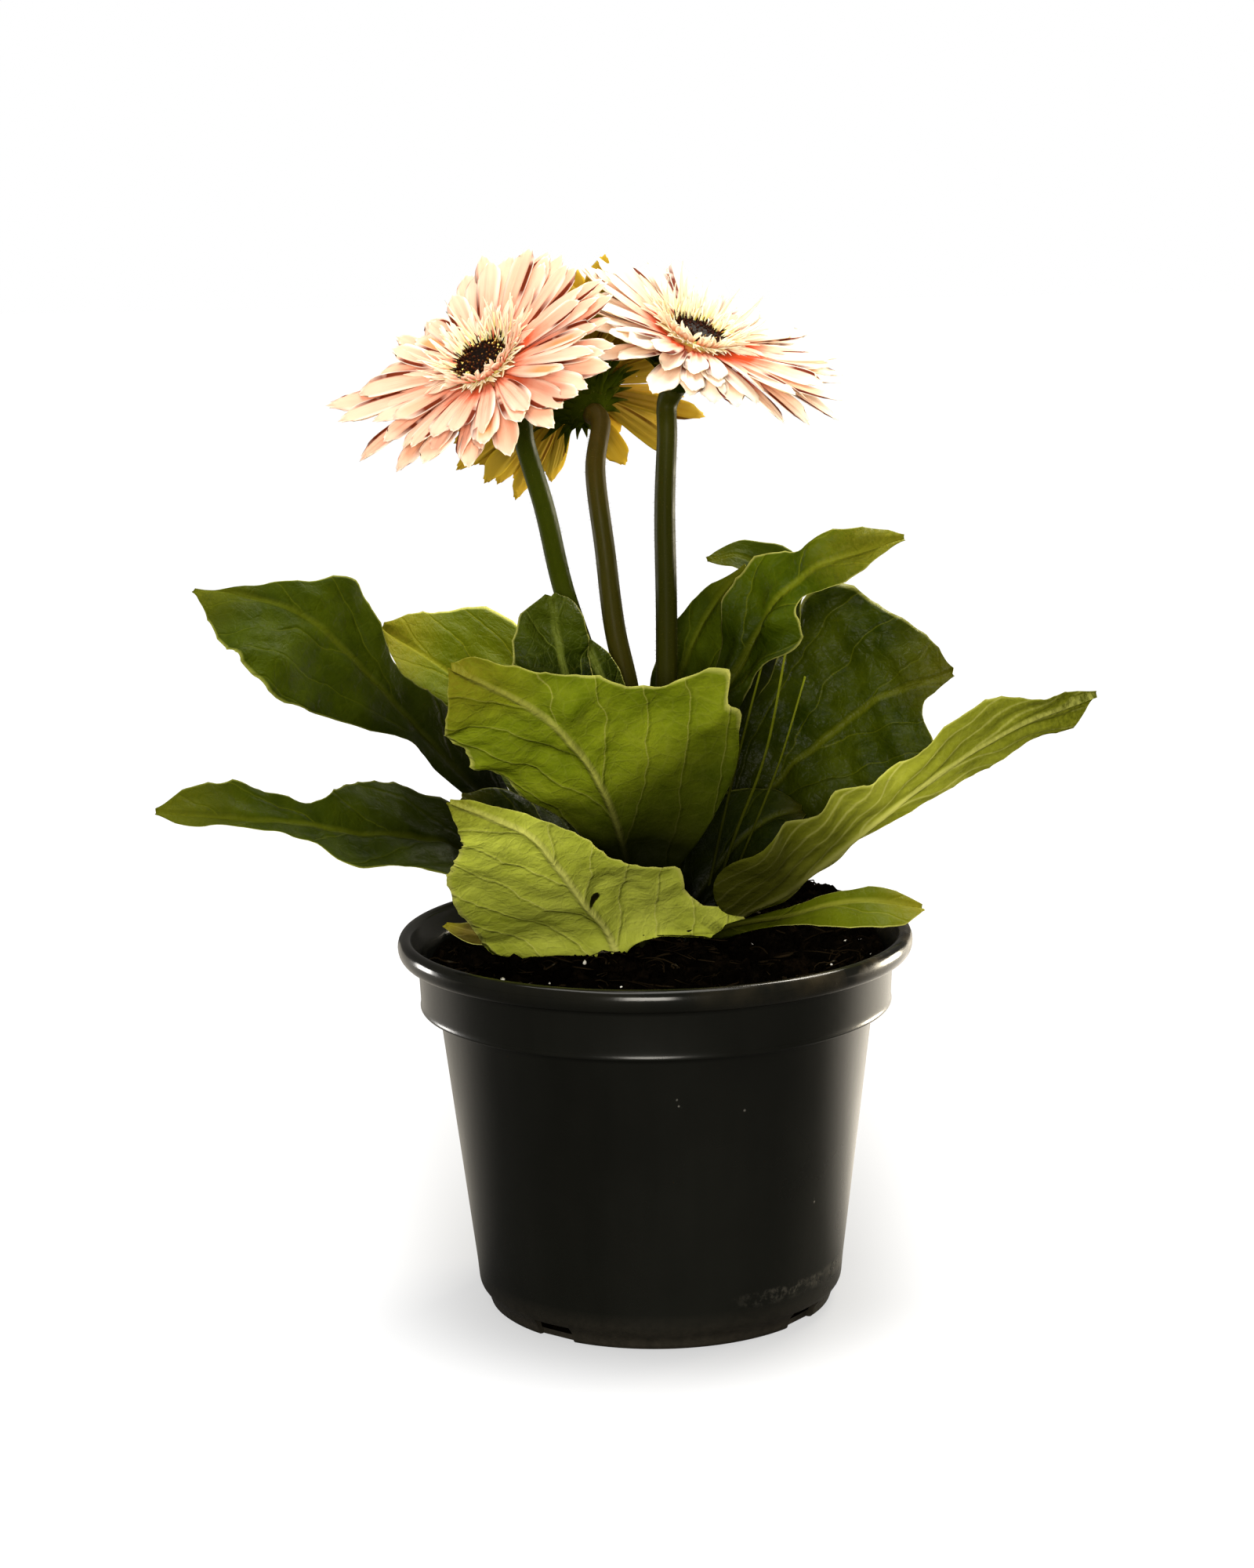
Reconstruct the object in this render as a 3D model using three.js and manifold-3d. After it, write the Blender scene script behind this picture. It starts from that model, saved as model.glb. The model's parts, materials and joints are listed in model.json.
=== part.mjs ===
// A gerbera daisy in a round nursery pot, in millimetres, +Z up.
// The origin is the centre of the pot's foot, on the surface that the pot stands on, and -Y is the front.
// The plant is a basal rosette: lobed leaves and leafless flower stalks (scapes) rise from one crown in the
// compost. Each scape carries a flower head: a green cup of bracts (the involucre), whorls of broad ray
// florets, a crest of short narrow florets, and a dark eye. Stalks stand in plain holes in the compost, and
// the pieces of a head are stacked along its axis. Everything that touches keeps a small gap.
import * as THREE from "three";
import Module from "manifold-3d";
import { mergeVertices } from "three/addons/utils/BufferGeometryUtils.js";

const wasm = await Module();
wasm.setup();

// ---------------------------------------------------------------------------------------------------------
// Driving dimensions
// ---------------------------------------------------------------------------------------------------------
const GAP = 0.3; // clearance between two pieces that touch
const RIM_RADIUS = 77.5; // the pot is a 155 mm one, measured over its rolled rim
const RIM_TOP = 114.6;
const POT_SIDES = 32;
const WALL = 1.4;
const FLOOR = 1.6;
const DRAIN = { count: 4, first: 53, width: 13, height: 5.5 }; // notches in the foot, degrees from the front
const SOIL_LEVEL = 105;
const SOIL_MOUND = { x: 40, y: 38, height: 13, spread: 24 }; // where the root ball stands proud of the rim
const HOLE_TOP = 115; // the holes for the stalks end here, above the compost
const PETIOLE = 2.3; // half width of a leaf's stalk
const BLADE = 0.8; // thickness of a leaf blade
const SCAPE = { foot: 3.3, top: 2.8, sides: 8, steps: 12 }; // radii at its two ends, and its facets

const COLOURS = {
  pot: [0x1b1b19, 0.42],
  compost: [0x1d1712, 0.95],
  leaf: [0x5f7d22, 0.5],
  scape: [0x55691f, 0.5],
  bract: [0x35451a, 0.6],
  ray: [0xf2b3a0, 0.6],
  crest: [0xf6e3b4, 0.6],
  eye: [0x24110c, 0.8],
};

// ---------------------------------------------------------------------------------------------------------
// Helpers: solids, curves and small numbers
// ---------------------------------------------------------------------------------------------------------
const group = new THREE.Group();
const { degToRad: rad, lerp: mix, clamp } = THREE.MathUtils;
const vec = (p) => new THREE.Vector3(...p);

function place(name, geometry, finish) {
  const [color, roughness] = COLOURS[finish];
  const mesh = new THREE.Mesh(geometry, new THREE.MeshStandardMaterial({ color, roughness, metalness: 0 }));
  mesh.name = name;
  group.add(mesh);
}

function solidOf(geometry) {
  const bare = new THREE.BufferGeometry().setAttribute("position", geometry.getAttribute("position"));
  bare.setIndex(geometry.getIndex());
  const merged = mergeVertices(bare, 1e-4);
  return new wasm.Manifold(
    new wasm.Mesh({
      numProp: 3,
      vertProperties: new Float32Array(merged.attributes.position.array),
      triVerts: new Uint32Array(merged.index.array),
    }),
  );
}

function geometryOf(solid) {
  const mesh = solid.getMesh();
  const geometry = new THREE.BufferGeometry();
  geometry.setAttribute("position", new THREE.BufferAttribute(new Float32Array(mesh.vertProperties), 3));
  geometry.setIndex(new THREE.BufferAttribute(new Uint32Array(mesh.triVerts), 1));
  return geometry;
}

const fuse = (solids) => solids.reduce((whole, solid) => whole.add(solid));

// A lathe turned about +Z from a profile of [radius, height] points that starts and ends on the axis or
// closes on itself.
function turned(profile, sides) {
  const points = profile.map(([r, z]) => new THREE.Vector2(r, z));
  return new THREE.LatheGeometry(points, sides).rotateX(Math.PI / 2);
}

function meshOf(points, index) {
  const geometry = new THREE.BufferGeometry();
  const numbers = points.flatMap((point) => point.toArray());
  geometry.setAttribute("position", new THREE.Float32BufferAttribute(numbers, 3));
  geometry.setIndex(index);
  return geometry;
}

// A closed body through rings of points, which run counterclockwise seen from the last ring.
function skin(rings) {
  const count = rings[0].length;
  const last = (rings.length - 1) * count;
  const index = [];
  for (let i = 0; i < rings.length - 1; i++)
    for (let k = 0; k < count; k++) {
      const [a, b] = [i * count + k, i * count + ((k + 1) % count)];
      index.push(a, b, b + count, a, b + count, a + count);
    }
  for (let k = 1; k < count - 1; k++) index.push(0, k + 1, k, last, last + k, last + k + 1);
  return meshOf(rings.flat(), index);
}

const smooth = (points) => new THREE.CatmullRomCurve3(points.map(vec), false, "catmullrom", 0.5);

// A repeatable number from -1 to 1 for a pair of whole numbers.
function chance(a, b) {
  const x = Math.sin(a * 12.9898 + b * 78.233) * 43758.5453;
  return 2 * (x - Math.floor(x)) - 1;
}

// Reads a list of evenly spaced directions at t, from 0 to 1.
function directionAt(list, t) {
  const x = t * (list.length - 1);
  const i = Math.min(Math.floor(x), Math.max(list.length - 2, 0));
  return vec(list[i]).lerp(vec(list[Math.min(i + 1, list.length - 1)]), x - i).normalize();
}

// A round stalk along a curve from its start to the place where, with a radius that changes evenly.
function stalk(curve, upTo, foot, top, sides, steps) {
  const across = new THREE.Vector3(1, 0.3, 0).normalize();
  return skin(
    Array.from({ length: steps + 1 }, (_, i) => {
      const t = (upTo * i) / steps;
      const tangent = curve.getTangent(t);
      const u = across.clone().addScaledVector(tangent, -across.dot(tangent)).normalize();
      const v = new THREE.Vector3().crossVectors(tangent, u);
      const radius = mix(foot, top, i / steps);
      return Array.from({ length: sides }, (_, k) => {
        const angle = (2 * Math.PI * k) / sides;
        return curve
          .getPoint(t)
          .addScaledVector(u, radius * Math.cos(angle))
          .addScaledVector(v, radius * Math.sin(angle));
      });
    }),
  );
}

// ---------------------------------------------------------------------------------------------------------
// Pot: a thin moulded shell with a rolled rim, a collar, a tapered body and a notched foot
// ---------------------------------------------------------------------------------------------------------
function pot() {
  const outside = [
    [0, 0],
    [52.1, 0],
    [52.6, 3.2],
    [55.3, 6.4],
    [55.9, 13],
    [65.4, 91.6],
    [69.6, 92.6],
    [70.8, 95],
    [71.4, 107.2],
    [75.4, 107.4],
    [77, 109],
    [RIM_RADIUS, 111.6],
    [76.7, 113.9],
    [75.1, RIM_TOP],
    [73.4, 113.9],
    [72.6, 112],
  ];
  const inside = [
    [71.2 - WALL, 107.6],
    [70.8 - WALL, 94.2],
    [65.4 - WALL, 92.4],
    [55.9 - WALL, 13],
    [52.6 - WALL, 4],
    [50.6, FLOOR],
    [0, FLOOR],
  ];
  let body = solidOf(turned([...outside, ...inside], POT_SIDES));
  for (let i = 0; i < DRAIN.count; i++) {
    const notch = new THREE.BoxGeometry(DRAIN.width, 9, 2 * DRAIN.height);
    notch.translate(0, -54, 0).rotateZ(rad(DRAIN.first + (i * 360) / DRAIN.count));
    body = body.subtract(solidOf(notch));
  }
  return body;
}

// ---------------------------------------------------------------------------------------------------------
// Compost: fills the pot, with an uneven top that rises to the root ball at the back right
// ---------------------------------------------------------------------------------------------------------
function soilHeight(x, y) {
  const mound = Math.exp(-((x - SOIL_MOUND.x) ** 2 + (y - SOIL_MOUND.y) ** 2) / (2 * SOIL_MOUND.spread ** 2));
  const crown = 3 * Math.exp(-(x * x + y * y) / 800);
  const lumps = 0.9 * Math.sin(x * 0.23 + 1.3) * Math.sin(y * 0.19 + 0.4);
  const crumbs = 0.5 * Math.sin(x * 0.51 - y * 0.37);
  return SOIL_LEVEL + SOIL_MOUND.height * mound + crown + lumps + crumbs;
}

function soil(holes) {
  const sides = 26;
  const ring = (radius, height) =>
    Array.from({ length: sides }, (_, k) => {
      const angle = (2 * Math.PI * k) / sides;
      const [x, y] = [radius * Math.cos(angle), radius * Math.sin(angle)];
      return new THREE.Vector3(x, y, height ?? soilHeight(x, y));
    });
  const buried = [
    [50, FLOOR + GAP],
    [50.5, 4.3],
    [53.8, 13],
    [63.2, 92.4],
    [66, 95.6],
    [68.6, 98.5],
  ];
  const top = [69, 60, 46, 32, 14];
  const rings = [...buried, ...top.map((radius) => [radius])].map(([radius, height]) => ring(radius, height));
  return holes.reduce((body, hole) => body.subtract(hole), solidOf(skin(rings)));
}

// The hole in the compost for a stalk of the given radius, a little wider and deeper than the stalk.
function stalkHole(curve, radius) {
  let t = 0;
  while (t < 0.5 && curve.getPoint(t).z < HOLE_TOP) t += 0.01;
  const sides = 6;
  const around = (radius + 1.5 * GAP) / Math.cos(Math.PI / sides);
  const hole = stalk(curve, t, around, around, sides, 3);
  return solidOf(hole.translate(0, 0, -GAP));
}

// ---------------------------------------------------------------------------------------------------------
// Leaves: a round petiole that flattens into a lobed blade about a raised midrib
// ---------------------------------------------------------------------------------------------------------
// rib      points of the midrib from the buried end to the tip
// faces    directions that the upper face looks in, at even steps from the buried end to the tip
// blade    [place along the rib, reach to the left margin, reach to the right margin], where left is the left
//          hand of someone who looks out along the leaf from the crown
// sweep    degrees that the left and right side veins lean towards the tip
// fold     degrees that each half rises from the rib, and wave the height of the ripples along the margin
const LEAVES = {
  left_high: {
    rib: [
      [-16, 16, 98], [-24, 13, 124], [-55, 4, 159], [-72, -4, 180],
      [-86, -10, 198], [-101, -14, 213], [-117, -16, 219], [-132, -16, 222],
    ],
    faces: [[0.35, -0.8, 0.5], [0.35, -0.6, 0.7]],
    blade: [
      [0.3, 5, 16], [0.4, 7, 12], [0.49, 25, 9], [0.55, 36, 11], [0.59, 38, 17], [0.66, 36, 21],
      [0.73, 31, 10], [0.8, 24, 6], [0.87, 15, 3], [0.94, 7, 0],
    ],
    sweep: [28, 5],
    fold: 6,
    wave: 0.8,
  },
  left_behind: {
    rib: [[-13, 22.5, 98], [-19, 29, 135], [-44, 37, 172], [-60, 38, 186], [-82, 33, 202]],
    faces: [[0.5, -0.4, 0.75], [0.3, -0.6, 0.7]],
    blade: [
      [0.4, 17, 20], [0.5, 30, 26], [0.58, 29, 30], [0.66, 27, 31], [0.74, 25, 28], [0.82, 23, 20],
      [0.9, 15, 13], [0.96, 6, 6],
    ],
    sweep: [15, 15],
    fold: 8,
    wave: 1.5,
  },
  left_low: {
    rib: [
      [-18, 9.5, 98], [-27, 3, 122], [-55, -3, 139], [-70, -13, 146],
      [-90, -23, 150], [-102, -28, 154], [-121, -35, 157], [-143, -38, 160],
    ],
    faces: [[0.3, -0.5, 0.8], [0.1, -0.55, 0.8]],
    blade: [
      [0.24, 18, 13], [0.33, 24, 16], [0.41, 26, 21], [0.49, 17, 20], [0.57, 18, 13], [0.65, 8, 8],
      [0.71, 8, 7], [0.77, 7, 12], [0.84, 5, 14], [0.91, 8, 12], [0.96, 6, 7],
    ],
    sweep: [12, 12],
    fold: 14,
    wave: 0.6,
  },
  front_centre: {
    rib: [
      [-2, 2, 98], [-6, -2, 124], [-10, -10, 146], [-15, -20, 162],
      [-22, -30, 175], [-34, -40, 189], [-56, -50, 202],
    ],
    faces: [[0, 0.85, 0.5], [-0.2, 0.85, 0.5]],
    blade: [
      [0.24, 28, 5], [0.3, 55, 12], [0.36, 51, 22], [0.41, 53, 28], [0.46, 45, 28], [0.52, 35, 32],
      [0.6, 29, 34], [0.69, 24, 30], [0.78, 16, 31], [0.88, 11, 23], [0.95, 8, 10],
    ],
    sweep: [36, 25],
    fold: 8,
    wave: 0.6,
  },
  front_low: {
    rib: [[-9, 1, 98], [-14, -7, 115], [-21, -22, 128], [-28, -37, 142], [-37, -50, 155], [-57, -61, 166]],
    faces: [[-0.1, 0.85, 0.5], [-0.2, 0.85, 0.5]],
    blade: [
      [0.21, 29, 36], [0.26, 29, 47], [0.31, 26, 45], [0.37, 23, 42], [0.44, 19, 41], [0.52, 14, 36],
      [0.62, 12, 29], [0.72, 8, 23], [0.84, 5, 15], [0.94, 3, 6],
    ],
    sweep: [8, 40],
    fold: 6,
    wave: 0.4,
  },
  right_low: {
    rib: [[10, 8, 98], [19, 4.5, 111], [41, -5, 119], [60, -8, 123.5], [80, -5, 120.5]],
    faces: [[0, -0.4, 0.9], [0.1, -0.5, 0.85]],
    blade: [
      [0.35, 3, 4], [0.45, 4, 4], [0.55, 4, 7], [0.64, 5, 13], [0.72, 5, 15], [0.8, 6, 14],
      [0.88, 5, 11], [0.95, 4, 6],
    ],
    sweep: [10, 20],
    fold: 8,
    wave: 0.4,
  },
  right_long: {
    rib: [
      [12.5, 14.5, 98], [23, 9, 115], [39, 0, 125], [62, -2, 143],
      [86, 0, 161], [110, 3, 174], [133, 5, 182],
    ],
    faces: [[-0.4, 0.75, 0.5], [-0.45, 0.75, 0.5]],
    blade: [
      [0.25, 6, 29], [0.32, 4, 32], [0.39, 2, 25], [0.46, 3, 27], [0.53, 6, 17], [0.6, 8, 16],
      [0.66, 11, 20], [0.71, 12, 21], [0.77, 9, 17], [0.87, 11, 10], [0.94, 10, 4],
    ],
    sweep: [15, 35],
    fold: 2,
    wave: 0.8,
  },
  right_dark: {
    rib: [[9, 22.5, 98], [17, 25, 126], [30, 28, 144], [48, 30, 162], [70, 30, 178], [92, 28, 186]],
    faces: [[-0.4, -0.8, 0.4], [-0.35, -0.85, 0.35]],
    blade: [
      [0.3, 10, 10], [0.38, 14, 16], [0.46, 20, 23], [0.53, 29, 25], [0.59, 38, 27], [0.66, 46, 29],
      [0.73, 41, 26], [0.8, 27, 25], [0.87, 19, 7], [0.94, 10, 4],
    ],
    sweep: [32, 22],
    fold: 8,
    wave: 1.5,
  },
  right_high: {
    rib: [
      [5, 16.5, 98], [10, 14, 140], [19, 10, 175], [32, 6, 203],
      [41, 2, 216], [54, -2, 225], [75, -5, 231],
    ],
    faces: [[-0.4, -0.75, 0.5], [-0.3, -0.75, 0.55]],
    blade: [
      [0.3, 6, 7], [0.36, 6, 7], [0.42, 11, 9], [0.48, 16, 17], [0.54, 16, 14], [0.6, 16, 9],
      [0.67, 12, 4], [0.74, 8, 9], [0.81, 10, 10], [0.88, 8, 9], [0.95, 5, 4],
    ],
    sweep: [25, 25],
    fold: 6,
    wave: 0.8,
  },
  back_right: {
    rib: [
      [1.5, 23, 98], [10, 28, 140], [22, 33, 172], [36, 38, 200],
      [39, 39, 214], [28, 37, 222], [18, 35, 221],
    ],
    faces: [[-0.7, -0.3, 0.6], [-0.7, -0.5, 0.5], [0.2, -0.6, 0.8]],
    blade: [
      [0.3, 8, 10], [0.4, 13, 18], [0.5, 14, 20], [0.6, 12, 13], [0.7, 10, 9], [0.8, 8, 7],
      [0.92, 5, 4],
    ],
    sweep: [15, 15],
    fold: 10,
    wave: 1,
  },
  back_centre: {
    rib: [[-5, 22, 98], [-2, 26, 140], [4, 25, 172], [11, 23, 192], [19, 22, 208], [29, 20, 221]],
    faces: [[-0.2, -0.8, 0.5], [-0.3, -0.8, 0.5]],
    blade: [
      [0.35, 7, 9], [0.48, 9, 13], [0.6, 10, 14], [0.72, 8, 12], [0.84, 5, 10], [0.93, 2, 6],
    ],
    sweep: [20, 20],
    fold: 8,
    wave: 1,
  },
  young_left: {
    rib: [[-10.5, 8.5, 98], [-13, 1, 140], [-19, -5, 168], [-25, -9, 193], [-28.5, -11, 217]],
    faces: [[0.3, -0.9, 0.3], [0.1, -0.9, 0.4]],
    blade: [
      [0.35, 5, 5], [0.47, 9, 8], [0.59, 14, 9], [0.71, 17, 10], [0.83, 15, 10], [0.94, 9, 8],
    ],
    sweep: [25, 25],
    fold: -12,
    wave: 0.8,
  },
  young_right: {
    rib: [[-4, 8.5, 98], [-6, 4, 140], [-10, 0, 175], [-14, -2, 190], [-19, -3, 203]],
    faces: [[0.3, -0.9, 0.3], [0.1, -0.9, 0.4]],
    blade: [
      [0.35, 4, 4], [0.52, 5, 7], [0.7, 6, 8], [0.88, 4, 5],
    ],
    sweep: [25, 25],
    fold: -12,
    wave: 0.6,
  },
  left_inner: {
    rib: [[-15, 3, 98], [-26, -3, 126], [-40, -8, 146], [-56, -12, 158]],
    faces: [[0.3, -0.6, 0.7], [0.3, -0.6, 0.7]],
    blade: [
      [0.4, 6, 6], [0.52, 9, 9], [0.64, 11, 11], [0.76, 10, 10], [0.88, 7, 7],
    ],
    sweep: [15, 15],
    fold: 8,
    wave: 0.6,
  },
  soil_left: {
    rib: [[-24, 14, 99], [-32, 12, 109], [-44, 9, 110.5], [-56, 13, 111.5], [-64, 17, 113]],
    faces: [[0, -0.3, 1], [0, -0.3, 1]],
    blade: [
      [0.3, 4, 4], [0.45, 5, 5], [0.6, 5, 5], [0.75, 4, 5], [0.9, 3, 3],
    ],
    sweep: [15, 15],
    fold: 4,
    wave: 0.3,
  },
  right_inner: {
    rib: [[5, 2, 98], [12, 6, 120], [24, 12, 136], [35, 15, 144], [45, 16, 147]],
    faces: [[-0.4, -0.6, 0.6], [-0.2, -0.6, 0.7]],
    blade: [
      [0.28, 5, 8], [0.38, 8, 15], [0.5, 12, 19], [0.62, 13, 18], [0.78, 10, 12], [0.9, 6, 7],
    ],
    sweep: [20, 20],
    fold: 6,
    wave: 0.8,
  },
  back_left: {
    rib: [[-9, 28.5, 98], [-18, 42, 122], [-34, 62, 143], [-50, 80, 150], [-60, 96, 148]],
    faces: [[0.2, -0.2, 1], [-0.1, 0.2, 1]],
    blade: [
      [0.3, 8, 8], [0.4, 17, 13], [0.5, 14, 17], [0.6, 21, 17], [0.7, 18, 22], [0.85, 12, 11],
    ],
    sweep: [20, 20],
    fold: 10,
    wave: 2,
  },
  back_low: {
    rib: [[-2, 29, 98], [0, 48, 122], [4, 74, 140], [6, 100, 146], [4, 120, 142]],
    faces: [[0, -0.3, 1], [0, 0.2, 1]],
    blade: [
      [0.3, 8, 8], [0.4, 15, 18], [0.5, 19, 14], [0.6, 16, 22], [0.7, 22, 18], [0.85, 11, 12],
    ],
    sweep: [20, 20],
    fold: 10,
    wave: 2,
  },
  back_far_right: {
    rib: [[6, 29.5, 98], [20, 44, 124], [42, 62, 146], [64, 78, 158], [82, 90, 158]],
    faces: [[-0.2, -0.2, 1], [0.1, 0.2, 1]],
    blade: [
      [0.3, 8, 8], [0.4, 16, 14], [0.5, 20, 18], [0.6, 16, 21], [0.7, 20, 17], [0.85, 12, 11],
    ],
    sweep: [20, 20],
    fold: 10,
    wave: 2,
  },
};

const ACROSS = [1, 0.5, 0, -0.5, -1]; // columns of a blade, from the left margin over the rib to the right

function leafSection(curve, leaf, [t, left, right]) {
  const tangent = curve.getTangent(t);
  const side = new THREE.Vector3().crossVectors(directionAt(leaf.faces, t), tangent).normalize();
  const up = new THREE.Vector3().crossVectors(tangent, side);
  const start = leaf.blade[0][0];
  const flat = 1 - clamp((start * 1.25 - t) / (start * 0.5), 0, 1); // 0 in the petiole and 1 in the blade
  const ribDepth = flat * mix(2.2, 0.3, t);
  const ripple = (leaf.wave ?? 1.5) * Math.sin(17 * t + leaf.rib[0][0]);
  const point = (v, below) => {
    const reach = Math.abs(v) * (v > 0 ? left : right);
    const lean = rad(flat * leaf.sweep[v > 0 ? 0 : 1]);
    const rise = rad(flat * leaf.fold);
    const round = (1 - flat) * (PETIOLE - BLADE / 2) * (1 - v * v);
    const depth = below ? -BLADE / 2 - round - (v === 0 ? ribDepth : 0) : BLADE / 2 + 0.8 * round;
    const margin = flat * Math.min(reach / 12, 1) * v * v * (v > 0 ? ripple : -ripple);
    return curve
      .getPoint(t)
      .addScaledVector(side, Math.sign(v) * reach * Math.cos(lean) * Math.cos(rise))
      .addScaledVector(tangent, reach * Math.sin(lean))
      .addScaledVector(up, reach * Math.cos(lean) * Math.sin(rise) + margin + depth);
  };
  return [...ACROSS.map((v) => point(v, false)), ...ACROSS.map((v) => point(v, true))];
}

// The first five points of a section are the top and the last five the underside. Both faces are split along
// the same diagonals, so that a waved blade never crosses itself.
function leafBody(leaf) {
  const curve = smooth(leaf.rib);
  const start = leaf.blade[0][0];
  const stem = [0, start * 0.35, start * 0.7].map((t) => [t, PETIOLE, PETIOLE]);
  const sections = [...stem, ...leaf.blade, [1, 0.7, 0.7]].map((row) => leafSection(curve, leaf, row));
  const index = [];
  const quad = (a, b, c, d, turn) => index.push(...(turn ? [a, b, d, b, c, d] : [a, b, c, a, c, d]));
  const end = (first, outward) => {
    for (let c = first; c < first + 4; c++) {
      const corners = [c, c + 5, c + 6, c, c + 6, c + 1];
      index.push(...(outward ? corners.reverse() : corners));
    }
  };
  for (let i = 0; i < sections.length - 1; i++) {
    const [p, q] = [10 * i, 10 * i + 10];
    for (let c = 0; c < 4; c++) {
      quad(p + c, p + c + 1, q + c + 1, q + c, c < 2);
      quad(p + c + 6, p + c + 5, q + c + 5, q + c + 6, c >= 2);
    }
    quad(p + 5, p, q, q + 5, false);
    quad(p + 4, p + 9, q + 9, q + 4, false);
  }
  end(0, false);
  end(10 * (sections.length - 1), true);
  return meshOf(sections.flat(), index);
}

// ---------------------------------------------------------------------------------------------------------
// Flower heads
// ---------------------------------------------------------------------------------------------------------
// centre   the middle of the head, on the plane that the ray florets spring from
// facing   the direction that the head looks in
// scape    points of its stalk from the buried end up to the neck below the head
// bare     stretches of the head, in degrees, that have lost their rays
// reach    [degrees round the head, share of the usual radius that the tips of the rays reach there]
const HEADS = {
  left: {
    centre: [-45, -34, 285.8],
    facing: [-0.43, -0.52, 0.74],
    bare: [],
    reach: [
      [0, 1], [30, 0.98], [60, 1.08], [75, 1.12], [95, 1], [115, 0.88], [140, 0.88], [160, 1.05],
      [172, 1.12], [185, 1.06], [200, 0.9], [230, 0.88], [250, 0.93], [270, 1.03], [300, 1.13],
      [315, 1.1], [335, 0.97], [360, 1],
    ],
    scape: [
      [-8.5, 15, 98], [-9, 14, 128], [-12, 11, 160], [-18, 7, 192],
      [-25.5, 2, 218], [-30, -8, 242], [-35, -17, 262],
    ],
  },
  back: {
    centre: [-22.5, 44.5, 275],
    facing: [-0.4, 0.75, 0.52],
    bare: [[68, 78], [86, 110]],
    reach: [
      [0, 1.1], [30, 1.2], [50, 1.24], [66, 1.12], [85, 1], [105, 0.85], [118, 1.07], [140, 1],
      [180, 1], [270, 1], [320, 1], [360, 1.1],
    ],
    scape: [
      [-2, 15.5, 98], [-3, 15, 140], [-6, 13, 180],
      [-10.5, 13, 204], [-13, 16, 227], [-15.5, 21, 250],
    ],
  },
  right: {
    centre: [14.2, -4, 290.2],
    facing: [0.37, -0.3, 0.88],
    bare: [],
    reach: [
      [0, 1.1], [20, 1.08], [40, 1], [70, 0.96], [100, 1.12], [140, 1.03], [165, 0.95], [180, 0.9],
      [210, 0.96], [240, 1.01], [250, 1.04], [268, 0.91], [285, 0.85], [300, 0.86], [315, 0.95],
      [330, 1.07], [345, 1.08], [360, 1.1],
    ],
    scape: [[3, 9, 98], [4, 7, 150], [5, 3, 205], [5, 1, 240], [6, 0, 262]],
  },
};

// Heights in a head along its axis, from the plane that the rays spring from
const NECK = 15.6; // depth of the end of the scape below that plane
const CUP = { top: -1.8, radius: 9.6 };
const HUB = { bottom: CUP.top + GAP, top: 0.6, radius: 10.2 };
const CREST = { bottom: HUB.top + GAP, top: 2.4, radius: 8.6 };
const EYE = { bottom: CREST.top + GAP, height: 1.9, radius: 7.6 };
const RAY = {
  root: 8.4,
  tip: 43,
  half: 4.7,
  keel: 0.7,
  outline: [[0, 0.22], [0.35, 0.76], [0.75, 1], [1, 0.42]], // [part of the length, part of the half width]
  innerOutline: [[0, 0.22], [0.65, 1], [1, 0.42]],
};
const WHORLS = [5, 8, 11, 15]; // degrees that the rays of each whorl rise from the plane of the head
const RAYS_IN_WHORL = 10;

// A narrow leaf-like blade with a three-sided section that springs from the axis of a head. Each of its
// stations is [radius, height, half width], and its keel is below.
function headBlade(stations, angle, keel) {
  const out = new THREE.Vector3(Math.cos(angle), Math.sin(angle), 0);
  const side = new THREE.Vector3(-out.y, out.x, 0);
  return skin(
    stations.map(([radius, height, half], i) => {
      const before = stations[Math.max(i - 1, 0)];
      const after = stations[Math.min(i + 1, stations.length - 1)];
      const slope = Math.atan2(after[1] - before[1], after[0] - before[0]);
      const middle = out.clone().multiplyScalar(radius).setZ(height);
      const below = middle.clone().addScaledVector(out, keel * Math.sin(slope));
      below.z -= keel * Math.cos(slope);
      const [one, other] = [-half, half].map((reach) => middle.clone().addScaledVector(side, reach));
      return [one, below, other];
    }),
  );
}

// Reads a list of [place, value] at a place between its first and its last.
function valueAt(list, place) {
  const after = Math.max(list.findIndex(([start]) => start >= place), 1);
  const [[a, from], [b, to]] = [list[after - 1], list[after]];
  return mix(from, to, (place - a) / (b - a));
}

function rays(seed, { bare, reach }) {
  const hub = turned(
    [
      [0, HUB.bottom],
      [HUB.radius, HUB.bottom],
      [HUB.radius - 0.4, HUB.top],
      [0, HUB.top],
    ],
    20,
  );
  const placeOf = (i, whorl) => (360 * (i + [0, 0.5, 0.25, 0.75][whorl])) / RAYS_IN_WHORL;
  const kept = (degrees) => !bare.some(([from, to]) => degrees > from && degrees < to);
  const blades = WHORLS.flatMap((rise, whorl) => {
    const numbers = Array.from({ length: RAYS_IN_WHORL }, (_, i) => i);
    return numbers.filter((i) => kept(placeOf(i, whorl))).map((i) => {
      const turn = rad(placeOf(i, whorl));
      const slope = rad(rise + 1.4 * chance(seed + i, whorl));
      const droop = rad(3 + 2 * chance(seed + 7, i + whorl));
      const tip = RAY.tip * valueAt(reach, placeOf(i, whorl));
      const length = (tip - RAY.root - 2.4 * whorl) * (1 + 0.04 * chance(i, seed + whorl));
      const station = ([part, width]) => [
        RAY.root + length * part * Math.cos(slope),
        -1 + 0.4 * whorl + length * (part * Math.sin(slope) - part * part * Math.sin(droop)),
        RAY.half * width,
      ];
      const outline = whorl < 2 ? RAY.outline : RAY.innerOutline;
      return solidOf(headBlade(outline.map(station), turn + 0.04 * chance(whorl, seed + i), RAY.keel));
    });
  });
  return fuse([solidOf(hub), ...blades]);
}

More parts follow.
